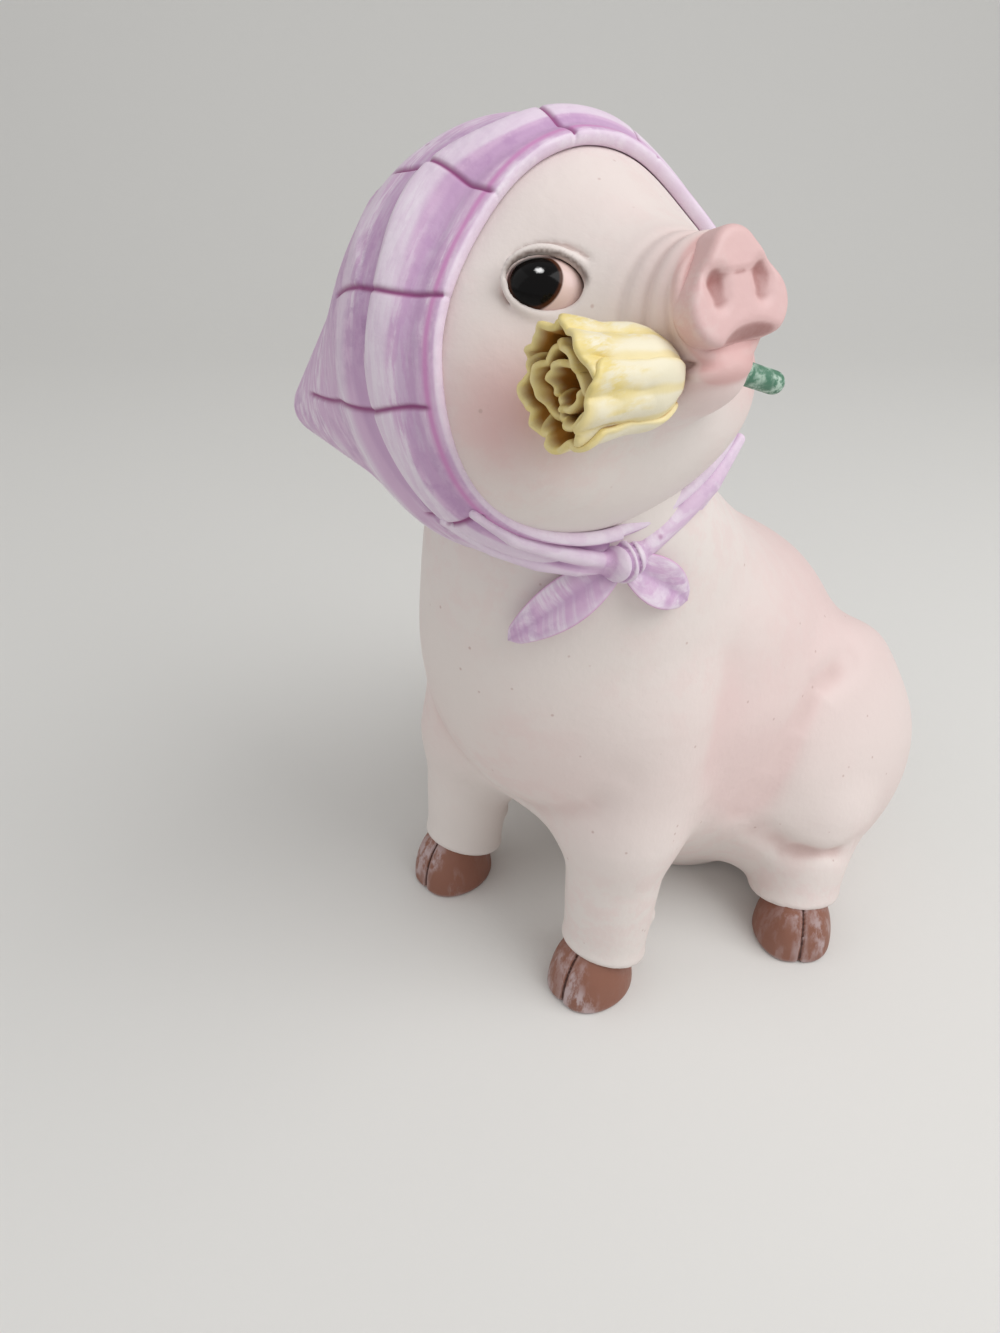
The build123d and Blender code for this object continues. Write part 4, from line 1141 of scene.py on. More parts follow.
class HeadForm:
    """Skull, muzzle, lids and lower lip, in head coordinates."""

    def __init__(self, head, rose):
        self.head = head
        self.frame = face_frame(head, head.pitch)
        self.hood_frame = face_frame(head, bpy.context.scene.pig.kerchief.pitch)
        self.eyes = [EyePlace(head, side) for name, side in SIDES]
        self.stem = np.array((rose.stem_right, rose.stem_bend, rose.stem_left))
        self.stem_radius = rose.stem_radius

    def muzzle(self, spot):
        head = self.head
        start, end = 0.6 * head.muzzle_length, head.muzzle_length
        core = cone_field(spot, (start, 0, 0), (end, 0, 0.5 * head.snout_lift), head.muzzle_root_radius,
                          head.muzzle_radius)
        return soft_common(core, spot[..., 0] - end, 0.0012)

    def wrinkles(self, spot):
        """Depth of the creases that lean back over the bridge of the muzzle."""
        head = self.head
        along = spot[..., 0] + 0.2 * (0.008 - spot[..., 2])
        window = ease(spot[..., 2], -0.010, -0.002) * ease(spot[..., 0], 0.0335, 0.039)
        creases = sum(share * np.exp(-((along - place_) / head.wrinkle_width) ** 2)
                      for place_, share in ((0.0474, 0.9), (0.0437, 0.8), (0.0400, 0.5)))
        return head.wrinkle_depth * window * creases

    def lids(self, spot, field):
        head = self.head
        for eye in self.eyes:
            near = eye.frame.into(spot)
            long, tall = head.eye_half_length, head.eye_half_height
            hollow = ellipsoid_field(near, (0, 0, -0.001), (long * 1.04, tall * 1.02, 0.0036))
            field = soft_cut(field, hollow, 0.0016)
            angles = np.radians(np.linspace(186, 12, 12))
            arch = np.stack([long * 1.04 * np.cos(angles), tall * 1.05 * np.sin(angles) + 0.0002], 1)
            arch = np.concatenate([arch, ((1.20 * long, -0.22 * tall),)])
            thick = head.lid_radius * (0.35 + 0.65 * np.sin(np.linspace(0.1, math.pi - 0.2, len(arch))))
            sunk = -np.sum(arch ** 2, 1) / (2 * head.skull_radius) + 0.0004
            field = soft_union(field, chain_field(near, np.column_stack([arch, sunk]), thick), 0.0011)
            above = arch[2:11] * np.array((1.15, 1.32))
            gap = chain_field(near[..., :2], above, np.zeros(len(above)))
            fade = 1.0 - ease(np.abs(near[..., 2]), 0.005, 0.008)
            for end in (above[0], above[-1]):
                fade = fade * ease(np.linalg.norm(near[..., :2] - end, axis=-1), 0.0, 0.0025)
            field = field + 0.00042 * fade * np.exp(-(gap / 0.0005) ** 2)
            low = np.radians(np.linspace(196, 338, 10))
            sill = np.stack([long * 1.0 * np.cos(low), tall * 1.0 * np.sin(low), 0 * low], 1)
            sill[:, 2] = -(sill[:, 0] ** 2 + sill[:, 1] ** 2) / (2 * head.skull_radius) - 0.0002
            field = soft_union(field, chain_field(near, sill, np.full(10, 0.00045)), 0.0016)
        return field

    def __call__(self, points):
        head = self.head
        spot = self.frame.into(points)
        skull = ellipsoid_field(spot, (0.001, 0, 0), (head.skull_half_length, head.skull_radius, head.skull_radius))
        skull = skull - cheek_fullness(self.hood_frame.into(points))
        field = soft_union(skull, self.muzzle(spot), head.muzzle_blend) + self.wrinkles(spot)
        field = self.lids(spot, field)
        jaw = ellipsoid_field(spot, (0.0375, 0.0, -0.0105), (0.0095, 0.0078, 0.0050))
        field = soft_union(field, jaw, 0.006)
        lip = ellipsoid_field(spot, (0.0453, -0.0008, -0.0092), (0.0038, 0.0062, 0.0023))
        field = soft_union(field, lip, 0.0010)
        mouth = chain_field(spot, np.array(((0.0430, -0.0088, -0.0076), (0.0478, -0.0030, -0.0068),
                                            (0.0478, 0.0030, -0.0068), (0.0430, 0.0088, -0.0076))), np.zeros(4))
        field = field + 0.0005 * np.exp(-(mouth / 0.0008) ** 2)
        bed = cone_field(spot, self.stem[1], self.stem[2], self.stem_radius, self.stem_radius)
        return soft_cut(field, bed, 0.0008)


def build_head():
    """Face with lids, wrinkled muzzle and lower lip."""
    settings = bpy.context.scene.pig
    form = HeadForm(settings.head, settings.rose)
    low, high = (np.array(corner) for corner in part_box("head"))
    vertices, quads, normals = cast(form, low - 0.004, high + 0.004, settings.head.head_step)
    spot = form.frame.into(vertices)
    relief = np.clip(curve_of(form, vertices, 0.0009) / 1100.0, -1, 1)
    # Dark line along the upper lids: dark lid paint, deepened as painted shade under the lids' edge
    lid_line_and_shade = np.zeros(len(vertices))
    for eye in form.eyes:
        near = eye.frame.into(spot)
        ring = np.hypot(near[:, 0] / settings.head.eye_half_length, near[:, 1] / settings.head.eye_half_height)
        line = np.exp(-((ring - 0.98) / 0.07) ** 2) * ease(near[:, 1], -0.0008, 0.0016)
        lid_line_and_shade = np.maximum(lid_line_and_shade, line * (np.abs(near[:, 2]) < 0.006))
    blush = 0.62 * sum(glow(spot, (0.0245, side * 0.0245, -0.0085), 0.0095) for name, side in SIDES)
    lip = glow(spot * np.array((1.0, 0.8, 1.0)), (0.0468, 0.0, -0.0085), 0.0040)
    lip = np.maximum(lip, ease(spot[:, 0], 0.0466, 0.0480)) * ease(spot[:, 2], -0.0122, -0.0104)
    flush = 0.8 * ease(spot[:, 0], 0.034, 0.049) + 0.25 * glow(spot, (0.03, 0.0, 0.02), 0.02)
    piece = new_piece("face_and_skull", vertices, quads, finish("skin_paint"),
                      {"relief": relief, "flush": np.clip(flush, 0, 0.8), "blush": blush,
                       "lip": np.clip(1.3 * lip, 0, 1), "lid_line_and_shade": 0.8 * lid_line_and_shade}, normals)
    hand_over(piece, "skin_paint", "head")


def build_snout():
    """Rounded triangular snout with its nostrils and arched lower edge."""
    settings = bpy.context.scene.pig
    head = settings.head
    face = face_frame(head, head.pitch)
    start = head.muzzle_length - 0.0022
    end = head.muzzle_length + head.snout_thickness
    lobe, crown = 0.0052, 0.0046
    rounds = (((head.snout_half_width - lobe, head.snout_lift - head.snout_half_height + lobe), lobe),
              ((0.0, head.snout_lift + head.snout_half_height - crown), crown),
              ((lobe - head.snout_half_width, head.snout_lift - head.snout_half_height + lobe), lobe))

    def underside(spot):
        """Arch under the nose, slanting back to the lip."""
        drop = spot[..., 2] - head.snout_lift + head.snout_half_height + 0.0008
        slant = drop - 0.9 * (spot[..., 0] - end + 0.0006)
        return ellipsoid_field(np.stack([spot[..., 1], slant], -1), (0.0012, 0.0), (0.0060, 0.0034))

    def nostril(spot, side):
        lean = np.array((0.0, side * 0.00015, 0.0010))
        middle = np.array((end + 0.0004, side * 0.0043, 0.0016))
        return cone_field(spot, middle - lean, middle + lean, 0.0016, 0.0020)

    def field(points):
        spot = face.into(points)
        flat, across, height = spot[..., 1:], spot[..., 1], spot[..., 2]
        outline = np.min([cone_field(flat, first[0], second[0], first[1], second[1])
                          for first, second in zip(rounds, rounds[1:] + rounds[:1])], 0)
        ledge = 0.00035 * ease(height, 0.0034, 0.0046) * (1.0 - ease(np.abs(across), 0.0048, 0.0066))
        disc = soft_common(outline, spot[..., 0] - end - ledge + 0.0006, 0.0015)
        disc = soft_common(disc, start - spot[..., 0], 0.002)
        for side in (-1, 1):
            disc = soft_cut(disc, nostril(spot, side), 0.0016)
        return soft_cut(disc, underside(spot), 0.0010)

    low, high = (np.array(corner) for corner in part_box("snout"))
    vertices, quads, normals = cast(field, low - 0.003, high + 0.003, 0.0004)
    relief = np.clip(curve_of(field, vertices, 0.0008) / 900.0, -1, 1)
    spot = face.into(vertices)
    for side in (-1, 1):
        relief = np.minimum(relief, -0.9 * ease(nostril(spot, side), 0.0005, 0.0))
    # Painted shadow: the arch under the nose darkened with the nostril colour
    relief = np.minimum(relief, -0.7 * ease(underside(spot), 0.0004, 0.0))
    piece = new_piece("snout_disc", vertices, quads, finish("snout_paint"), {"relief": relief}, normals)
    hand_over(piece, "snout_paint", "snout")


def build_eyes():
    """Glossy eyeballs between the lids."""
    head = bpy.context.scene.pig.head
    face = face_frame(head, head.pitch)
    for name, side in SIDES:
        eye = EyePlace(head, side)
        depth = 0.0042
        centre = np.array((0.0, 0.0, head.eye_proud - depth))
        radii = (head.eye_half_length, head.eye_half_height, depth)

        def field(points):
            return ellipsoid_field(eye.frame.into(face.into(points)), centre, radii)

        middle = face.out(eye.frame.out(centre))
        vertices, quads, normals = cast(field, middle - 0.0085, middle + 0.0085, 0.00035)
        near = eye.frame.into(face.into(vertices))
        iris = np.hypot(near[:, 0] + head.iris_back, near[:, 1]) / head.iris_radius
        # Small round spot above the iris's middle, where the painted highlight goes
        painted_highlight = np.hypot((near[:, 0] + 0.7 * head.iris_back) / 1.7, near[:, 1] - 0.0012) / 0.00042
        piece = new_piece(f"eyeball_{name}", vertices, quads, finish("eye_gloss"),
                          {"iris": iris, "painted_highlight": 1.0 - ease(painted_highlight, 0.7, 1.1)}, normals)
        hand_over(piece, "eye_gloss", f"eye_{name}")


# Kerchief

def cheek_fullness(spot):
    """How far the cheeks swell, and the brow's sides fall in, at places given in the hood's frame."""
    about = np.degrees(np.arctan2(np.abs(spot[..., 1]), spot[..., 2]))
    away = np.degrees(np.arctan2(np.hypot(spot[..., 1], spot[..., 2]), spot[..., 0]))
    full = 0.0040 * np.exp(-((about - 120.0) / 30.0) ** 2) - 0.0024 * np.exp(-((about - 46.0) / 26.0) ** 2)
    return full * ease(away, 24.0, 46.0) * (1.0 - ease(away, 65.0, 86.0))


class HoodForm:
    """Outside of the hood as a distance from the head's middle, by angle about its axis and from the face."""

    def __init__(self, head, cloth):
        self.cloth = cloth
        self.frame = face_frame(head, cloth.pitch)
        self.points = [unit((-0.783, side * 0.617, -0.140)) for name, side in SIDES]

    def direction(self, about, away):
        """Unit directions, about the axis from the crown to the pig's left and away from the face."""
        level = np.sin(away)
        return np.stack([np.cos(away), level * np.sin(about), level * np.cos(about)], -1)

    def fullness(self, heading):
        """The cloth's share of the cheeks' swelling."""
        full = cheek_fullness(heading)
        return np.where(full > 0, 0.55 * full, full)

    def folds(self, about, away):
        """Height of the rolled band and the folds over the plain hood."""
        cloth = self.cloth
        degrees_about, degrees = np.degrees(about), np.degrees(away)
        edge = smooth_through(BAND_ANGLES, BAND_ENDS, np.abs(degrees_about))
        rim = math.degrees(cloth.opening)
        share = (degrees - rim) / (edge - rim)
        band = 0.25 + 0.75 * ease(share, 0.35, 1.0) - 0.22 * np.exp(-((share - 0.4) / 0.16) ** 2)
        fall = 1.0 - ease(degrees, edge + 0.3, edge + 5.0)
        height = cloth.band_height * band * fall
        wander = 4.0 * np.sin(np.radians(degrees_about * 2.0) + 0.6)
        height = height + cloth.fold_height * np.exp(-((degrees - edge - 20.0 - wander) / 7.0) ** 2)
        gather = ease(np.abs(degrees_about), 118.0, 160.0) * (1.0 - ease(degrees, 96.0, 118.0))
        pleats = np.sin((degrees - rim) * 0.62 + 0.02 * degrees_about)
        return height + 0.0006 * gather * pleats

    def lines(self, about, away):
        """Share of the pressed lines at each place."""
        mask = np.zeros(np.broadcast(about, away).shape)
        degrees_about, degrees = np.degrees(about), np.degrees(away)
        width = math.degrees(self.cloth.line_width)
        for middle, first, last in PRESSED_LINES:
            drift = 0.5 * np.sin(degrees * 0.21 + middle)
            across = np.exp(-((degrees_about - middle - drift) / width) ** 2)
            length_share = ease(degrees, first - 1.0, first + 1.5) * (1.0 - ease(degrees, last - 2.0, last + 1.0))
            mask = np.maximum(mask, across * length_share)
        return mask

    def outside(self, about, away):
        """Distance of the cloth's outside from the head's middle."""
        cloth = self.cloth
        heading = self.direction(about, away)
        reach = cloth.radius + self.folds(about, away) + self.fullness(heading)
        for point in self.points:
            angle = np.arccos(np.clip(heading @ point, -1, 1))
            cone = cloth.point_cone / np.cos(np.minimum(angle, 1.2) - cloth.point_slope)
            cone = np.where(angle < 1.1, cone, 0.0)
            cone = soft_union(cone, np.full(cone.shape, cloth.point_reach), 0.002)
            reach = -soft_union(-reach, -cone, 0.0026)
        return reach


def spaced_angles():
    """Angles about the hood's axis, closer together at the pressed lines."""
    angles = list(np.arange(-180.0, 180.0, 1.1))
    for middle, first, last in PRESSED_LINES:
        angles += [middle + offset for offset in (-1.6, -1.25, -0.9, -0.6, -0.3, 0.0, 0.3, 0.6, 0.9, 1.25, 1.6)]
    angles = np.sort(np.array(angles))
    keep = np.concatenate([[True], np.diff(angles) > 0.12])
    return np.radians(angles[keep])


def build_kerchief():
    """Hood with its rolled band, folds, side points and pressed lines."""
    settings = bpy.context.scene.pig
    cloth = settings.kerchief
    form = HoodForm(settings.head, cloth)
    about = spaced_angles()
    rim = math.degrees(cloth.opening)
    away = np.radians(np.concatenate([np.arange(rim, 92.0, 0.55), np.arange(92.0, 179.2, 1.15)]))
    grid_about, grid_away = np.meshgrid(about, away, indexing="xy")
    reach = form.outside(grid_about, grid_away)
    line = form.lines(grid_about, grid_away)
    relief = form.folds(grid_about, grid_away)
    blurred = sum(form.folds(grid_about, grid_away + math.radians(step)) for step in (-7, -4, 4, 7)) / 4
    relief = np.clip((relief - blurred) / 0.0005, -1, 1)
    reach = reach - cloth.line_depth * line
    outer = reach[..., None] * form.direction(grid_about, grid_away)
    rows = [outer]
    values = [(relief, line, np.exp(-((np.degrees(grid_away) - rim - 1.9) / 0.9) ** 2))]
    inside = cloth.inside + form.fullness(form.direction(about, np.full(about.shape, cloth.opening)))
    thick = reach[0] - inside
    for angle in np.radians((30, 60, 90, 120, 150)):
        lip_reach = inside + thick * (0.5 + 0.5 * math.cos(angle))
        ahead = cloth.opening - 0.32 * thick * math.sin(angle) / cloth.radius
        row = lip_reach[:, None] * form.direction(about, np.full(about.shape, ahead))
        rows.insert(0, row[None])
        values.insert(0, tuple(np.full((1, len(about)), share) for share in (0.9, 0.0, 0.0)))
    inner_away = np.radians(np.concatenate([np.arange(rim, 179.0, 4.0)]))
    inner_about, inner_away = np.meshgrid(about, inner_away, indexing="xy")
    inner = form.direction(inner_about, inner_away)
    inner = inner * (cloth.inside + form.fullness(inner))[..., None]
    rows.insert(0, inner[::-1])
    values.insert(0, tuple(np.full(inner.shape[:2], share) for share in (0.0, 0.0, 0.0)))
    grid = np.concatenate(rows)
    count_rows, count_columns = grid.shape[:2]
    points = grid.reshape(-1, 3)
    faces = grid_faces(count_rows, count_columns, True).tolist()
    inner_pole, outer_pole = len(points), len(points) + 1
    back = form.outside(np.zeros(1), np.full(1, math.pi))[0]
    points = np.vstack([points, (-cloth.inside, 0.0, 0.0), (-back, 0.0, 0.0)])
    last_row = (count_rows - 1) * count_columns
    for column in range(count_columns):
        beside = (column + 1) % count_columns
        faces.append((inner_pole, beside, column))
        faces.append((outer_pole, last_row + column, last_row + beside))
    layers = [np.concatenate([value[layer] for value in values]).ravel() for layer in range(3)]
    layers = [np.concatenate([layer, (0.0, 0.0)]) for layer in layers]
    piece = new_piece("kerchief_hood", form.frame.out(points), faces, finish("kerchief_paint"),
                      {"relief": layers[0], "line": layers[1], "rim": layers[2]})
    cloth_uv(piece.data, form.frame)
    hand_over(piece, "kerchief_paint", "kerchief")


def cloth_uv(mesh, cloth_frame):
    """Map of the cloth: along the folds, then away from the face, in metres."""
    spot = cloth_frame.into(mesh_points(mesh))
    away = np.arctan2(np.hypot(spot[:, 1], spot[:, 2]), spot[:, 0])
    about = np.arctan2(spot[:, 1], spot[:, 2])
    corners = np.zeros(len(mesh.loops), int)
    mesh.loops.foreach_get("vertex_index", corners)
    flat = np.stack([about, away], 1)[corners] * 0.038
    layer = mesh.uv_layers.new(name="cloth")
    layer.data.foreach_set("uv", flat.astype(np.float32).ravel())


def build_knot():
    """Knot under the chin, with the gathers that run into it and two loose ends."""
    settings = bpy.context.scene.pig
    cloth, head = settings.kerchief, settings.head
    hood = HoodForm(head, cloth)
    middle = np.array(cloth.knot)
    out = unit(middle - np.array(head.centre))
    across = unit(hood.frame.axes[:, 1] - out * (out @ hood.frame.axes[:, 1]))
    own = LocalFrame(middle, (across, np.cross(out, across), out))
    gathers = []
    for side, aways, lift, thick in (
            (-1, (66.0, 64.8, 64.0, 63.6, 63.4), 0.0004, (0.0016, 0.0016, 0.0015, 0.0013, 0.0008)),
            (-1, (67.5, 68.5, 70.0, 71.6, 73.0), -0.0002, (0.0017, 0.0017, 0.0016, 0.0014, 0.0009)),
            (1, (66.0, 64.5, 63.6, 63.0, 62.8), 0.0014, (0.0018, 0.0024, 0.0027, 0.0024, 0.0012)),
            (1, (67.5, 68.0, 68.6, 69.0, 69.4), 0.0010, (0.0018, 0.0022, 0.0024, 0.0020, 0.0010))):
        about = np.radians(side * np.array((178.0, 168.0, 156.0, 142.0, 126.0)))
        heading = hood.direction(about, np.radians(aways))
        reach = hood.outside(about, np.radians(aways)) + lift + 0.0016 * np.linspace(1.0, 0.0, 5) ** 2
        gathers.append((hood.frame.out(heading * reach[:, None]), np.array(thick)))

    def field(points):
        spot = own.into(points)
        ball = ellipsoid_field(spot, (0, 0, 0.0002), (0.0044, 0.0046, 0.0042))
        for offset, lean in ((-0.0016, 0.25), (0.0018, -0.25)):
            seam = np.abs(spot[..., 0] - offset - lean * spot[..., 1]) - 0.0002
            ball = soft_cut(ball, np.maximum(seam, -ball - 0.0006), 0.0012)
        for line, thick in gathers:
            ball = soft_union(ball, chain_field(points, line, thick), 0.0010)
        return ball

    corners = np.vstack([line for line, thick in gathers] + [middle[None]])
    vertices, quads, normals = cast(field, corners.min(0) - 0.007, corners.max(0) + 0.007, 0.00036)
    relief = np.clip(curve_of(field, vertices, 0.0007) / 900.0, -1, 1)
    none = np.zeros(len(vertices))
    knot = new_piece("knot_ball", vertices, quads, finish("kerchief_paint"),
                     {"relief": relief, "line": none, "rim": none}, normals)
    cloth_uv(knot.data, hood.frame)
    hand_over(knot, "kerchief_paint", "kerchief_knot")
    neck = np.array((0.002, -0.050, 0.0))
    for name, tip in (("right", cloth.long_tip), ("left", cloth.short_tip)):
        level = (middle + np.array(tip)) / 2 - neck
        level[2] = 0.3 * np.hypot(level[0], level[1])
        points, faces, layers = leaf(middle, np.array(tip), unit(level), cloth)
        end = new_piece(f"loose_end_{name}", points, faces, finish("kerchief_paint"), layers)
        cloth_uv(end.data, hood.frame)
        hand_over(end, "kerchief_paint", f"kerchief_end_{name}")


def leaf(root, tip, out, cloth):
    """Loose end of the cloth: a leaf folded along its middle, closed all round."""
    rows, columns = 44, 40
    along = np.linspace(0.0, 1.0, rows)
    angle = np.linspace(0.0, 2 * math.pi, columns, endpoint=False)
    run = tip - root
    heading = unit(run)
    normal = unit(out - heading * (out @ heading))
    across = np.cross(normal, heading)
    wide = cloth.end_width / 2 * (0.22 + 0.78 * np.sin(math.pi * np.clip(along, 0, 1) ** 0.9) ** 0.8)
    wide *= np.sqrt(np.clip((1.0 - along) / 0.06, 0.0, 1.0))
    wide = np.maximum(wide, 0.00012)
    thick = cloth.end_thickness / 2 * np.clip((1.0 - along) / 0.12, 0.06, 1.0) ** 0.5
    side = np.cos(angle)[None, :] * np.ones((rows, 1))
    top = np.sin(angle)[None, :] * np.ones((rows, 1))
    valley = 0.0021 * np.sin(math.pi * along)[:, None] * (np.abs(side) - 0.45)
    bend = 0.0016 * np.sin(math.pi * along)[:, None]
    grid = (root + along[:, None, None] * run
            + (wide[:, None] * side)[..., None] * across
            + (thick[:, None] * top * (1.0 - 0.35 * side ** 2) + valley + bend)[..., None] * normal)
    points = grid.reshape(-1, 3)
    faces = grid_faces(rows, columns, True)[:, ::-1].tolist()
    start, end = len(points), len(points) + 1
    points = np.vstack([points, grid[0].mean(0), grid[-1].mean(0)])
    last = (rows - 1) * columns
    for column in range(columns):
        beside = (column + 1) % columns
        faces.append((start, column, beside))
        faces.append((end, last + beside, last + column))
    relief = np.where(top > 0, 1.5 * (np.abs(side) - 0.5), 0.0)
    rim = np.exp(-((np.abs(side) - 1.0) / 0.05) ** 2) * 0.8
    shade = np.concatenate([relief.ravel(), (0, 0)])
    return points, faces, {"relief": np.clip(shade, -1, 1), "line": np.zeros(len(points)),
                           "rim": np.concatenate([rim.ravel(), (0, 0)])}


# Rose

def petal_ring(tree, given, petals, girth, reach, arc, twist, seed):
    """One ring of overlapping petals round the bloom's axis, each a bent and ruffled sheet."""
    sheet = tree.add("GeometryNodeMeshGrid", {"Size X": 2.0, "Size Y": 1.0, "Vertices X": 25,
                                              "Vertices Y": 19}).outputs[0]
    place_ = tree.add("ShaderNodeSeparateXYZ", {0: tree.add("GeometryNodeInputPosition").outputs[0]}).outputs
    side = place_[0]
    rise = tree.compute("ADD", place_[1], 0.5)
    noise = tree.add("ShaderNodeTexNoise", {"Scale": 2.6, "Detail": 2.0, "W": seed}, noise_dimensions="4D")
    ruffle = tree.compute("SUBTRACT", noise.outputs["Fac"], 0.5)
    corner = tree.compute("POWER", tree.compute("ABSOLUTE", side), 3.0)
    top = tree.compute("MULTIPLY_ADD", corner, -0.17, 1.0)
    ragged = tree.compute("MULTIPLY_ADD", ruffle, 0.32, top)
    height = tree.compute("MULTIPLY", tree.compute("MULTIPLY", rise, ragged), reach)
    swell = tree.compute("SINE", tree.compute("MINIMUM", tree.compute("MULTIPLY", rise, 5.0), math.pi / 2))
    flare = tree.compute("POWER", rise, 2.2)
    profile = tree.compute("MULTIPLY_ADD", flare, 0.2, tree.compute("MULTIPLY_ADD", swell, 0.36, 0.44))
    lapped = tree.compute("MULTIPLY_ADD", side, 0.055, profile)
    ridges = tree.compute("MULTIPLY", tree.compute("COSINE", tree.compute("MULTIPLY", side, 9.0)), 0.06)
    crest = tree.compute("DIVIDE", ridges, 0.06)
    wavy = tree.compute("ADD", lapped, tree.compute("MULTIPLY", ridges, rise))
    curled = tree.compute("MULTIPLY_ADD", ruffle, tree.compute("MULTIPLY", flare, 0.5), wavy)
    away = tree.compute("MULTIPLY", tree.compute("MULTIPLY", curled, given["Mouth Radius"]), girth)
    turned = tree.compute("MULTIPLY_ADD", side, arc / 2, twist)
    bent = tree.add("ShaderNodeCombineXYZ", {
        0: tree.compute("MULTIPLY", away, tree.compute("COSINE", turned)),
        1: tree.compute("MULTIPLY", away, tree.compute("SINE", turned)),
        2: tree.compute("MULTIPLY", height, given["Bloom Length"])}).outputs[0]
    named = tree.add("GeometryNodeStoreNamedAttribute", {"Geometry": sheet, "Name": "edge", "Value": rise},
                     data_type="FLOAT", domain="POINT").outputs[0]
    creased = tree.add("GeometryNodeStoreNamedAttribute", {"Geometry": named, "Name": "ridge", "Value": crest},
                       data_type="FLOAT", domain="POINT").outputs[0]
    petal = tree.add("GeometryNodeSetPosition", {"Geometry": creased, "Position": bent}).outputs[0]
    ring = tree.add("GeometryNodeMeshLine", {"Count": petals, "Offset": (0, 0, 0)}).outputs[0]
    order = tree.add("GeometryNodeInputIndex").outputs[0]
    spin = tree.add("ShaderNodeCombineXYZ", {2: tree.compute("MULTIPLY", order, 2 * math.pi / petals)}).outputs[0]
    facing = tree.add("FunctionNodeEulerToRotation", {0: spin}).outputs[0]
    uneven = tree.add("FunctionNodeRandomValue", {2: 0.92, 3: 1.05, "ID": order, "Seed": int(seed)},
                      data_type="FLOAT").outputs[1]
    size = tree.add("ShaderNodeCombineXYZ", {0: 1.0, 1: 1.0, 2: uneven}).outputs[0]
    placed = tree.add("GeometryNodeInstanceOnPoints", {"Points": ring, "Instance": petal, "Rotation": facing,
                                                       "Scale": size})
    return tree.add("GeometryNodeRealizeInstances", {"Geometry": placed.outputs[0]}).outputs[0]


def rose_tree():
    """Bloom of three rings of petals, each sheet given its thickness and closed."""
    tree = GeometryTree("Rose bloom")
    for label, default in (("Bloom Length", 0.018), ("Mouth Radius", 0.01), ("Thickness", 0.001)):
        tree.input(label, "NodeSocketFloat", default)
    tree.input("Material", "NodeSocketMaterial", None)
    given = tree.add("NodeGroupInput").outputs
    rings = [petal_ring(tree, given, 5, 0.98, 0.98, 1.75, 0.4, 1.0), petal_ring(tree, given, 3, 0.64, 0.92, 2.5, 1.2, 4.0),
             petal_ring(tree, given, 2, 0.36, 0.88, 3.4, 0.3, 7.0)]
    joined = tree.add("GeometryNodeJoinGeometry")
    for ring in rings:
        tree.tree.links.new(ring, joined.inputs[0])
    seed = tree.add("ShaderNodeTexNoise", {"Scale": 260.0, "Detail": 2.0}).outputs["Color"]
    jitter = tree.add("ShaderNodeVectorMath", {0: seed, 1: (0.5, 0.5, 0.5)}, operation="SUBTRACT").outputs[0]
    small = tree.add("ShaderNodeVectorMath", {0: jitter, "Scale": 0.0014}, operation="SCALE").outputs[0]
    rough = tree.add("GeometryNodeSetPosition", {"Geometry": joined.outputs[0], "Offset": small}).outputs[0]
    lifted = tree.add("GeometryNodeExtrudeMesh", {"Mesh": rough, "Offset Scale": given["Thickness"],
                                                  "Individual": False}, mode="FACES")
    flipped = tree.add("GeometryNodeFlipFaces", {"Mesh": rough}).outputs[0]
    both = tree.add("GeometryNodeJoinGeometry")
    tree.tree.links.new(lifted.outputs[0], both.inputs[0])
    tree.tree.links.new(flipped, both.inputs[0])
    closed = tree.add("GeometryNodeMergeByDistance", {"Geometry": both.outputs[0], "Distance": 0.00001}).outputs[0]
    round_ = tree.add("GeometryNodeSubdivisionSurface", {"Mesh": closed, "Level": 1}).outputs[0]
    ball = tree.add("GeometryNodeMeshUVSphere", {"Segments": 40, "Rings": 24, "Radius": 1.0}).outputs[0]
    wide = tree.compute("MULTIPLY", given["Mouth Radius"], 0.5)
    deep = tree.compute("MULTIPLY", given["Bloom Length"], 0.34)
    heart = tree.add("GeometryNodeTransform", {
        "Geometry": ball, "Scale": tree.add("ShaderNodeCombineXYZ", {0: wide, 1: wide, 2: deep}).outputs[0],
        "Translation": tree.add("ShaderNodeCombineXYZ", {2: deep}).outputs[0]}).outputs[0]
    bloom = tree.add("GeometryNodeJoinGeometry")
    tree.tree.links.new(round_, bloom.inputs[0])
    tree.tree.links.new(heart, bloom.inputs[0])
    smooth = tree.add("GeometryNodeSetShadeSmooth", {"Geometry": bloom.outputs[0]}).outputs[0]
    real = tree.add("GeometryNodeRealizeInstances", {"Geometry": smooth}).outputs[0]
    painted = tree.add("GeometryNodeSetMaterial", {"Geometry": real, "Material": given["Material"]}).outputs[0]
    tree.add("NodeGroupOutput", {"Geometry": painted})
    return tree


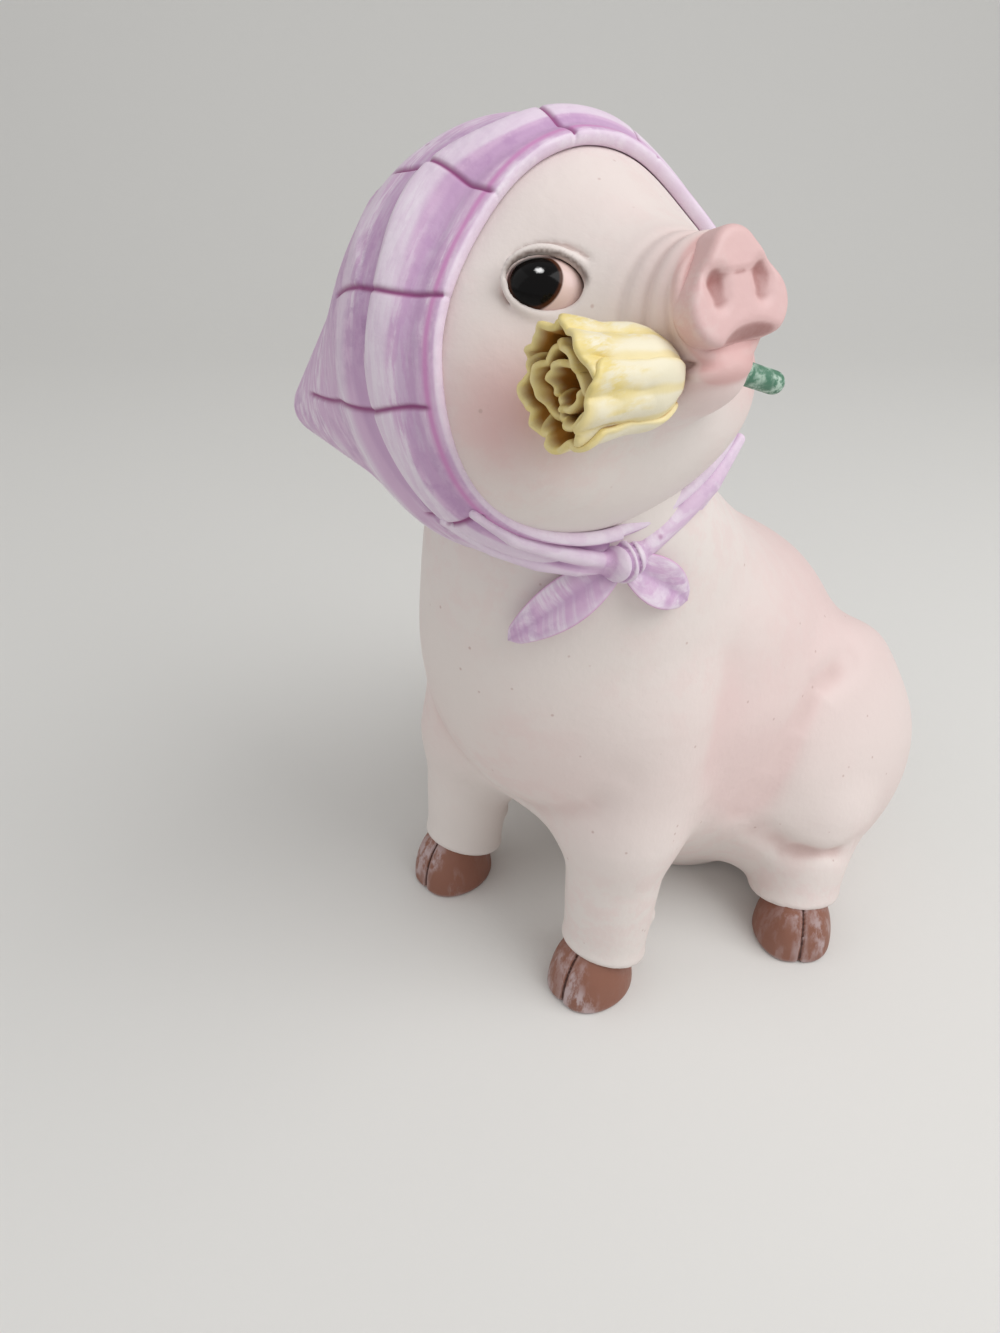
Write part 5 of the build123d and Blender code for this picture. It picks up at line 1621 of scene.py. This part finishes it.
def build_rose():
    """Rose held across the mouth: the bloom's petals and the stem."""
    settings = bpy.context.scene.pig
    sizes = settings.rose
    face = face_frame(settings.head, settings.head.pitch)
    line = [face.out(spot) for spot in (sizes.stem_right, sizes.stem_bend, sizes.stem_left)]
    axis = unit(line[0] - line[1])
    side = unit(np.cross(axis, face.axes[:, 0]))
    own = LocalFrame(line[0] - axis * sizes.bloom_set_back, (side, np.cross(axis, side), axis))
    mesh = grown("rose_petals", rose_tree(), {
        "Bloom Length": sizes.bloom_length, "Mouth Radius": sizes.mouth_radius,
        "Thickness": sizes.petal_thickness, "Material": finish("rose_paint")})
    points = mesh_points(mesh)
    away = np.hypot(points[:, 0], points[:, 1])
    arrows = np.zeros(len(points) * 3)
    mesh.vertices.foreach_get("normal", arrows)
    arrows = arrows.reshape(-1, 3)
    inward = -(arrows[:, 0] * points[:, 0] + arrows[:, 1] * points[:, 1]) / np.maximum(away, 1e-6)
    edge_layer = mesh.attributes["edge"]
    edge = np.zeros(len(points))
    edge_layer.data.foreach_get("value", edge)
    sheltered = np.maximum(ease(inward, 0.0, 0.5), ease(away / sizes.mouth_radius, 0.66, 0.52))
    add_values(mesh, depth=sheltered * (1.0 - ease(edge, 0.88, 1.0)))
    edge_layer.data.foreach_set("value", (0.8 * ease(edge, 0.84, 1.0)).astype(np.float32))
    set_points(mesh, own.out(points))
    bloom = bpy.data.objects.new("rose_petals", mesh)
    bpy.context.scene.collection.objects.link(bloom)
    hand_over(bloom, "rose_paint", "rose_bloom")

    def stem_field(spots):
        return chain_field(spots, line, np.full(len(line), sizes.stem_radius))

    vertices, quads, normals = cast(stem_field, np.min(line, 0) - 0.005, np.max(line, 0) + 0.005, 0.0004)
    stem = new_piece("rose_stem_rod", vertices, quads, finish("stem_paint"), None, normals)
    hand_over(stem, "stem_paint", "rose_stem")


def build_plug():
    """Rubber finish for the stopper, whose solid stays."""
    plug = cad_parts["base_plug"]
    plug.data.materials.clear()
    plug.data.materials.append(finish("plug_rubber"))


# Stage

def build_stage():
    """Floor with a curved backdrop, two soft lamps, an even sky and the camera."""
    settings = bpy.context.scene.pig
    stage = settings.stage
    floor_material, nodes, where, shader = new_finish("stage_paper", (0.85, 0.95), 0.0001)
    shade = nodes.group("Brushed paint", {"Color": settings.colours.floor, "Stroke Color": settings.colours.floor,
                                          "Vector": where})
    nodes.feed(shader.inputs["Base Color"], shade["Color"])
    backdrop(floor_material, stage)
    lamp("key_lamp", (0.42, 0.10, 0.62), (0.0, -0.03, 0.1), 0.55, stage.key_power)
    lamp("fill_lamp", (-0.35, -0.45, 0.45), (0.0, -0.03, 0.1), 0.6, stage.fill_power)
    world = bpy.context.scene.world or bpy.data.worlds.new("sky")
    bpy.context.scene.world = world
    world.use_nodes = True
    sky = world.node_tree.nodes["Background"]
    sky.inputs["Color"].default_value = (1.0, 1.0, 1.0, 1.0)
    sky.inputs["Strength"].default_value = stage.sky
    camera = bpy.data.cameras.new("photo_camera")
    camera.lens = stage.lens
    camera.clip_start = 0.01
    view = bpy.data.objects.new("photo_camera", camera)
    level = Vector((-math.sin(stage.heading), math.cos(stage.heading), 0.0))
    look = level * math.cos(stage.tilt) - Vector((0.0, 0.0, math.sin(stage.tilt)))
    view.rotation_euler = look.to_track_quat("-Z", "Y").to_euler()
    view.location = stage.camera
    bpy.context.scene.collection.objects.link(view)
    bpy.context.scene.camera = view
    bpy.context.scene.view_settings.view_transform = "Standard"


def backdrop(material, stage):
    """Sheet of paper: flat under the part, and curved up far behind it as the camera looks."""
    level = np.array((-math.sin(stage.heading), math.cos(stage.heading), 0.0))
    across = np.array((level[1], -level[0], 0.0))
    profile = [(-2.0, 0.0), (0.45, 0.0)]
    profile += [(0.45 + 0.5 * math.sin(a), 0.5 - 0.5 * math.cos(a)) for a in np.radians(np.arange(6, 91, 6))]
    profile.append((0.95, 2.4))
    points = [level * along + across * side + UP * height for along, height in profile for side in (-3.0, 3.0)]
    faces = [(row * 2, row * 2 + 1, row * 2 + 3, row * 2 + 2) for row in range(len(profile) - 1)]
    return new_piece("paper_backdrop", np.array(points), faces, material)


def lamp(name, spot, target, size, power):
    """A square soft lamp aimed at a point."""
    light = bpy.data.lights.new(name, "AREA")
    light.size = size
    light.energy = power
    holder = bpy.data.objects.new(name, light)
    holder.location = spot
    holder.rotation_euler = (Vector(target) - Vector(spot)).to_track_quat("-Z", "Y").to_euler()
    bpy.context.scene.collection.objects.link(holder)
    return holder


# Operators

class PIG_OT_body(bpy.types.Operator):
    """Build the torso and the four legs"""
    bl_idname = "pig.body"
    bl_label = "Torso and legs"

    def execute(self, context):
        build_body()
        return {"FINISHED"}


class PIG_OT_hooves(bpy.types.Operator):
    """Build the four cloven hooves"""
    bl_idname = "pig.hooves"
    bl_label = "Hooves"

    def execute(self, context):
        build_hooves()
        return {"FINISHED"}


class PIG_OT_tail(bpy.types.Operator):
    """Build the curled tail"""
    bl_idname = "pig.tail"
    bl_label = "Tail"

    def execute(self, context):
        build_tail()
        return {"FINISHED"}


class PIG_OT_head(bpy.types.Operator):
    """Build the face and skull"""
    bl_idname = "pig.head"
    bl_label = "Head"

    def execute(self, context):
        build_head()
        return {"FINISHED"}


class PIG_OT_snout(bpy.types.Operator):
    """Build the snout"""
    bl_idname = "pig.snout"
    bl_label = "Snout"

    def execute(self, context):
        build_snout()
        return {"FINISHED"}


class PIG_OT_eyes(bpy.types.Operator):
    """Build the two eyes"""
    bl_idname = "pig.eyes"
    bl_label = "Eyes"

    def execute(self, context):
        build_eyes()
        return {"FINISHED"}


class PIG_OT_kerchief(bpy.types.Operator):
    """Build the kerchief's hood"""
    bl_idname = "pig.kerchief"
    bl_label = "Kerchief"

    def execute(self, context):
        build_kerchief()
        return {"FINISHED"}


class PIG_OT_knot(bpy.types.Operator):
    """Build the knot and its loose ends"""
    bl_idname = "pig.knot"
    bl_label = "Knot and ends"

    def execute(self, context):
        build_knot()
        return {"FINISHED"}


class PIG_OT_rose(bpy.types.Operator):
    """Build the rose and its stem"""
    bl_idname = "pig.rose"
    bl_label = "Rose"

    def execute(self, context):
        build_rose()
        return {"FINISHED"}


class PIG_OT_plug(bpy.types.Operator):
    """Paint the stopper in the seat"""
    bl_idname = "pig.plug"
    bl_label = "Stopper"

    def execute(self, context):
        build_plug()
        return {"FINISHED"}


class PIG_OT_stage(bpy.types.Operator):
    """Set the floor, lamps and camera"""
    bl_idname = "pig.stage"
    bl_label = "Stage"

    def execute(self, context):
        build_stage()
        return {"FINISHED"}


OPERATORS = (PIG_OT_body, PIG_OT_hooves, PIG_OT_tail, PIG_OT_head, PIG_OT_snout, PIG_OT_eyes,
             PIG_OT_kerchief, PIG_OT_knot, PIG_OT_rose, PIG_OT_plug, PIG_OT_stage)


class PIG_PT_panel(bpy.types.Panel):
    """Sidebar list of the pig's building steps and sizes"""
    bl_idname = "PIG_PT_panel"
    bl_label = "Pig figurine"
    bl_space_type = "VIEW_3D"
    bl_region_type = "UI"
    bl_category = "Pig"

    def draw(self, context):
        for operator in OPERATORS:
            self.layout.operator(operator.bl_idname)
        settings = context.scene.pig
        for group in (settings.body, settings.head, settings.kerchief, settings.rose, settings.colours,
                      settings.stage):
            box = self.layout.box()
            for key in group.bl_rna.properties.keys():
                if key not in ("rna_type", "name"):
                    box.prop(group, key)


CLASSES = (PigBodySizes, PigHeadSizes, KerchiefSizes, RoseSizes, PaintColours, StageSettings, PigSettings,
           *OPERATORS, PIG_PT_panel)


def register():
    for cls in CLASSES:
        bpy.utils.register_class(cls)
    bpy.types.Scene.pig = bpy.props.PointerProperty(type=PigSettings)


def unregister():
    del bpy.types.Scene.pig
    for cls in reversed(CLASSES):
        bpy.utils.unregister_class(cls)


def main():
    register()
    bpy.ops.pig.body()
    bpy.ops.pig.hooves()
    bpy.ops.pig.tail()
    bpy.ops.pig.head()
    bpy.ops.pig.snout()
    bpy.ops.pig.eyes()
    bpy.ops.pig.kerchief()
    bpy.ops.pig.knot()
    bpy.ops.pig.rose()
    bpy.ops.pig.plug()
    bpy.ops.pig.stage()


if __name__ == "__main__":
    main()
